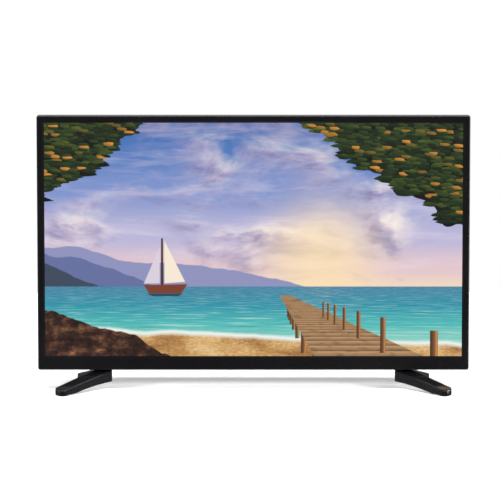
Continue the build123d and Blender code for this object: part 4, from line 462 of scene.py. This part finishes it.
finishes = {
    gloss_black_abs(): ["front_frame", "left_foot", "right_foot"],
    textured_black_abs(): ["rear_cover", *key_names],
    lit_film(): ["front_polariser"],
    smoked_window(): ["front_lenses"],
    # Closed-cell foam: a dead matt black
    plastic("foam_strip", "#131313", "#1C1C1C", (0.85, 0.95), 0.5 * MM, 0.2 * MM): ["panel_gasket"],
    # Float glass over a dark panel: a smooth, cold near-black
    plastic("panel_glass", "#0B0D0F", "#101316", (0.05, 0.08), 8 * MM, 0.001 * MM, 1.52): ["lcd_glass"],
    # Dyed film: a smooth dark grey
    plastic("grey_film", "#2A2D30", "#33373A", (0.2, 0.3), 2 * MM, 0.002 * MM): ["rear_polariser"],
    # Moulded polycarbonate: a half-matt black
    plastic("black_polycarbonate", "#131315", "#1A1A1C", (0.4, 0.5), 1.2 * MM, 0.05 * MM):
        ["mid_frame", "speaker_boxes"],
    # Frosted film and plate: an even, milky white
    plastic("frosted_film", "#DADCDD", "#E6E8E8", (0.45, 0.6), 0.4 * MM, 0.01 * MM):
        ["optical_films", "diffuser_plate", "diffuser_posts"],
    # Foamed polyester film: a flat, bright white
    plastic("foamed_white_film", "#E9EAE8", "#F1F1EF", (0.6, 0.7), 0.6 * MM, 0.01 * MM): ["reflector_sheet"],
    # Cast silicone: pale and wet-looking
    plastic("clear_silicone", "#DDE2E3", "#EDF0F0", (0.08, 0.14), 3 * MM, 0.002 * MM, 1.41): ["led_lenses"],
    galvanised_sheet(): ["backlight_pan", "foot_brackets"],
    # Rolled aluminium: a soft sheen drawn out along the strip
    metal("aluminium_strip", "#B4B7B9", "#C9CBCC", (0.25, 0.4), 0.6 * MM, (0.05, 1, 1)): ["led_bars"],
    # Bright zinc plating: a slightly cloudy silver grey
    metal("zinc_plate", "#9FA4A6", "#B9BDBE", (0.22, 0.36), 0.8 * MM):
        ["vesa_posts", "foot_screws", "board_screws", "frame_screws", "speaker_baskets"],
    # Chemically blackened steel: a dark, dull metal
    metal("black_oxide", "#1F2022", "#2B2C2F", (0.35, 0.5), 0.6 * MM): ["cover_screws"],
    # Tinned steel: a warm, bright silver with fine streaks
    metal("tin_plate", "#B8B8B5", "#CBCBC8", (0.18, 0.34), 0.5 * MM, (0.1, 1, 1)):
        ["hdmi_sockets", "usb_sockets", "aerial_socket", "lan_socket"],
    # Nickel brass: a bright, pale yellow
    metal("nickel_brass", "#B89A58", "#CFB377", (0.15, 0.28), 0.7 * MM): ["inlet_pins"],
    # Anodised extrusion: dark, with upright streaks
    metal("black_anodised_aluminium", "#26272A", "#303134", (0.3, 0.45), 0.4 * MM, (1, 1, 0.05)):
        ["chip_heat_sink"],
    # Aluminium as it leaves the mill: pale, with upright streaks
    metal("mill_aluminium", "#A9ACAE", "#BFC2C3", (0.28, 0.42), 0.5 * MM, (1, 1, 0.05)):
        ["power_heat_sinks"],
    circuit_board("green_board", "#0E4A2A", "#1E6B3D", "#C8B27A"):
        ["source_boards", "timing_board", "main_board", "key_board", "receiver_board"],
    circuit_board("brown_board", "#7A5B32", "#8C6B3E", "#B9BABA"): ["power_board"],
    # Moulding compound: a dark, powdery half-matt
    plastic("chip_epoxy", "#121315", "#191A1C", (0.42, 0.55), 0.3 * MM, 0.02 * MM):
        ["main_board_chips", "key_switches", "headphone_jack"],
    # Moulded nylon: a plain half-matt black
    plastic("inlet_nylon", "#141416", "#1A1A1B", (0.35, 0.45), 0.8 * MM, 0.03 * MM): ["mains_inlet"],
    # By height off the board: yellow, then black sleeves, then bright tops
    banded_by_place("power_parts_sleeving", 1, tall_low.y, tall_high.y - tall_low.y,
                    [(0.0, "#C9A23A"), (0.35, "#14161B"), (0.93, "#B9BBBC")], 0.4): ["power_components"],
    # One jack each in yellow, white and red
    banded_by_place("jack_plastics", 0, jack_low.x, jack_high.x - jack_low.x,
                    [(0.0, "#C9A311"), (0.33, "#D9D9D4"), (0.66, "#A51B1B")], 0.35): ["av_jacks"],
    # Black leads, with red and white ones at one height
    banded_by_place("lead_insulation", 2, lead_low.z, lead_high.z - lead_low.z,
                    [(0.0, "#1A1A1B"), (0.62, "#8E1D1D"), (0.66, "#D8D8D4"), (0.72, "#1A1A1B")], 0.45):
        ["wiring_leads"],
    striped_film("amber_film", "#8A4D0F", "#B8742A", 0.8 * MM, 0): ["panel_flexes"],
    striped_film("flat_cable", "#DADAD6", "#B7B9B9", 1.0 * MM, 0): ["panel_cables"],
    # Pressed paper: a soft, fibrous black
    plastic("black_pressed_paper", "#161617", "#202021", (0.75, 0.9), 0.5 * MM, 0.15 * MM):
        ["speaker_cone_left", "speaker_cone_right"],
    # Moulded rubber: a dull, even black
    plastic("soft_rubber", "#101010", "#171717", (0.6, 0.75), 0.6 * MM, 0.05 * MM):
        ["speaker_surround_left", "speaker_surround_right", "foot_pads"],
    # Moulded nylon, undyed: a warm off-white
    plastic("white_nylon", "#DDDBD3", "#E7E5DE", (0.35, 0.5), 0.7 * MM, 0.02 * MM): ["cable_clips"],
}
for material, names in finishes.items():
    for name in names:
        slots = nodes[name].data.materials
        slots.clear()
        slots.append(material)


# Floor, room, lamps and camera
floor_glow = 0.16  # the floor's own light, for the camera only
floor_mirrored = 0.22  # the floor as the gloss mirrors it
room_front, room_back = 0.07, 0.60
GLOSSY_RAY = 3  # Light Path's output Is Glossy Ray
BACKFACING = 6  # Geometry's output Backfacing
WHITE = (1, 1, 1, 1)


def floor():
    """A white floor that shows its own light to the camera and keeps the set's shadow.

    It ends just before the feet, so that the glossy front mirrors the dim room and not the floor. From below
    it is clear, so that the underside shows.
    """
    half, back = 1.0, 1.2
    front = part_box("left_foot")[0].y - 15 * MM
    corners = [(-half, front, 0), (half, front, 0), (half, back, 0), (-half, back, 0)]
    mesh = bpy.data.meshes.new("floor")
    mesh.from_pydata(corners, [], [(0, 1, 2, 3)])
    obj = bpy.data.objects.new("floor", mesh)
    bpy.context.scene.collection.objects.link(obj)
    material, tree = finish_tree("white_floor")
    rays = add(tree, "LightPath")
    strength = add(tree, "Math", rays, floor_glow, operation="MULTIPLY")
    glow = add(tree, "Emission", at={"Color": WHITE, "Strength": strength})
    seen = add(tree, "AddShader", add(tree, "BsdfDiffuse", linear("#E8E8E8")), glow)
    dim = add(tree, "Emission", at={"Color": WHITE, "Strength": floor_mirrored})
    above = add(tree, "MixShader", rays.node.outputs[GLOSSY_RAY], seen, dim)
    below = add(tree, "NewGeometry", out=BACKFACING)
    add(tree, "OutputMaterial", add(tree, "MixShader", below, above, add(tree, "BsdfTransparent")))
    mesh.materials.append(material)


def world():
    """White behind the set for the camera; for the set itself a dim room in front and a bright one behind."""
    scene_world = bpy.data.worlds.new("studio")
    bpy.context.scene.world = scene_world
    scene_world.use_nodes = True
    tree = scene_world.node_tree
    tree.nodes.clear()
    way = add(tree, "SeparateXYZ", add(tree, "TexCoord", out=0), out=1)
    room = add(tree, "MapRange", at={"Value": way, "From Min": -0.2, "From Max": 0.5, "To Min": room_front,
                                     "To Max": room_back})
    seen = add(tree, "LightPath")
    strength = lay(tree, room, WHITE, seen)
    add(tree, "OutputWorld", add(tree, "Background", strength, 1.0))


def softbox(name, place, size, power, mirrored):
    """A rectangular lamp that faces the lower middle of the set; unless it is mirrored, no gloss shows it."""
    lamp = bpy.data.lights.new(name, "AREA")
    lamp.shape = "RECTANGLE"
    lamp.size, lamp.size_y = size
    lamp.energy = power
    obj = bpy.data.objects.new(name, lamp)
    bpy.context.scene.collection.objects.link(obj)
    aim = Vector((0.0, 0.0, 0.2))
    obj.location = place
    obj.rotation_euler = (aim - Vector(place)).to_track_quat("-Z", "Y").to_euler()
    obj.visible_camera = False
    obj.visible_glossy = mirrored


def camera():
    """A long lens in front of the set, a little above its middle, at the photograph's scale."""
    frame_pixels, pixels_per_mm = 500, 0.599
    left_pixels, middle_height = 3.45, 234.7 * MM
    distance, elevation = 6.2, math.radians(7.0)
    target = Vector((-left_pixels / pixels_per_mm * MM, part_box("front_frame")[0].y, middle_height))
    data = bpy.data.cameras.new("camera")
    data.sensor_width = 36.0
    data.lens = pixels_per_mm * data.sensor_width * distance / MM / frame_pixels
    data.clip_end = 50.0
    obj = bpy.data.objects.new("camera", data)
    bpy.context.scene.collection.objects.link(obj)
    back = Vector((0.0, -math.cos(elevation), math.sin(elevation)))
    obj.location = target + back * distance
    obj.rotation_euler = (-back).to_track_quat("-Z", "Y").to_euler()
    bpy.context.scene.camera = obj


floor()
world()
lamps = (  # name, place, size, power in watts, mirrored in the gloss
    ("top_box", (0.0, -0.52, 3.0), (3.6, 0.35), 130.0, False),
    ("front_box", (0.0, -4.2, 1.75), (4.6, 0.9), 150.0, True),
    ("left_box", (-2.93, -1.07, 0.45), (0.9, 1.9), 14.0, True),
    ("right_box", (2.93, -1.07, 0.45), (0.9, 1.9), 85.0, True),
    ("left_floor_box", (-2.7, -1.55, 0.78), (0.6, 0.4), 110.0, False),
    ("right_floor_box", (2.7, -1.55, 0.78), (0.6, 0.4), 110.0, False),
    ("back_box", (0.6, 3.2, 2.4), (2.4, 1.6), 30.0, True),
)
for lamp in lamps:
    softbox(*lamp)
camera()
bpy.context.scene.view_settings.view_transform = "Standard"
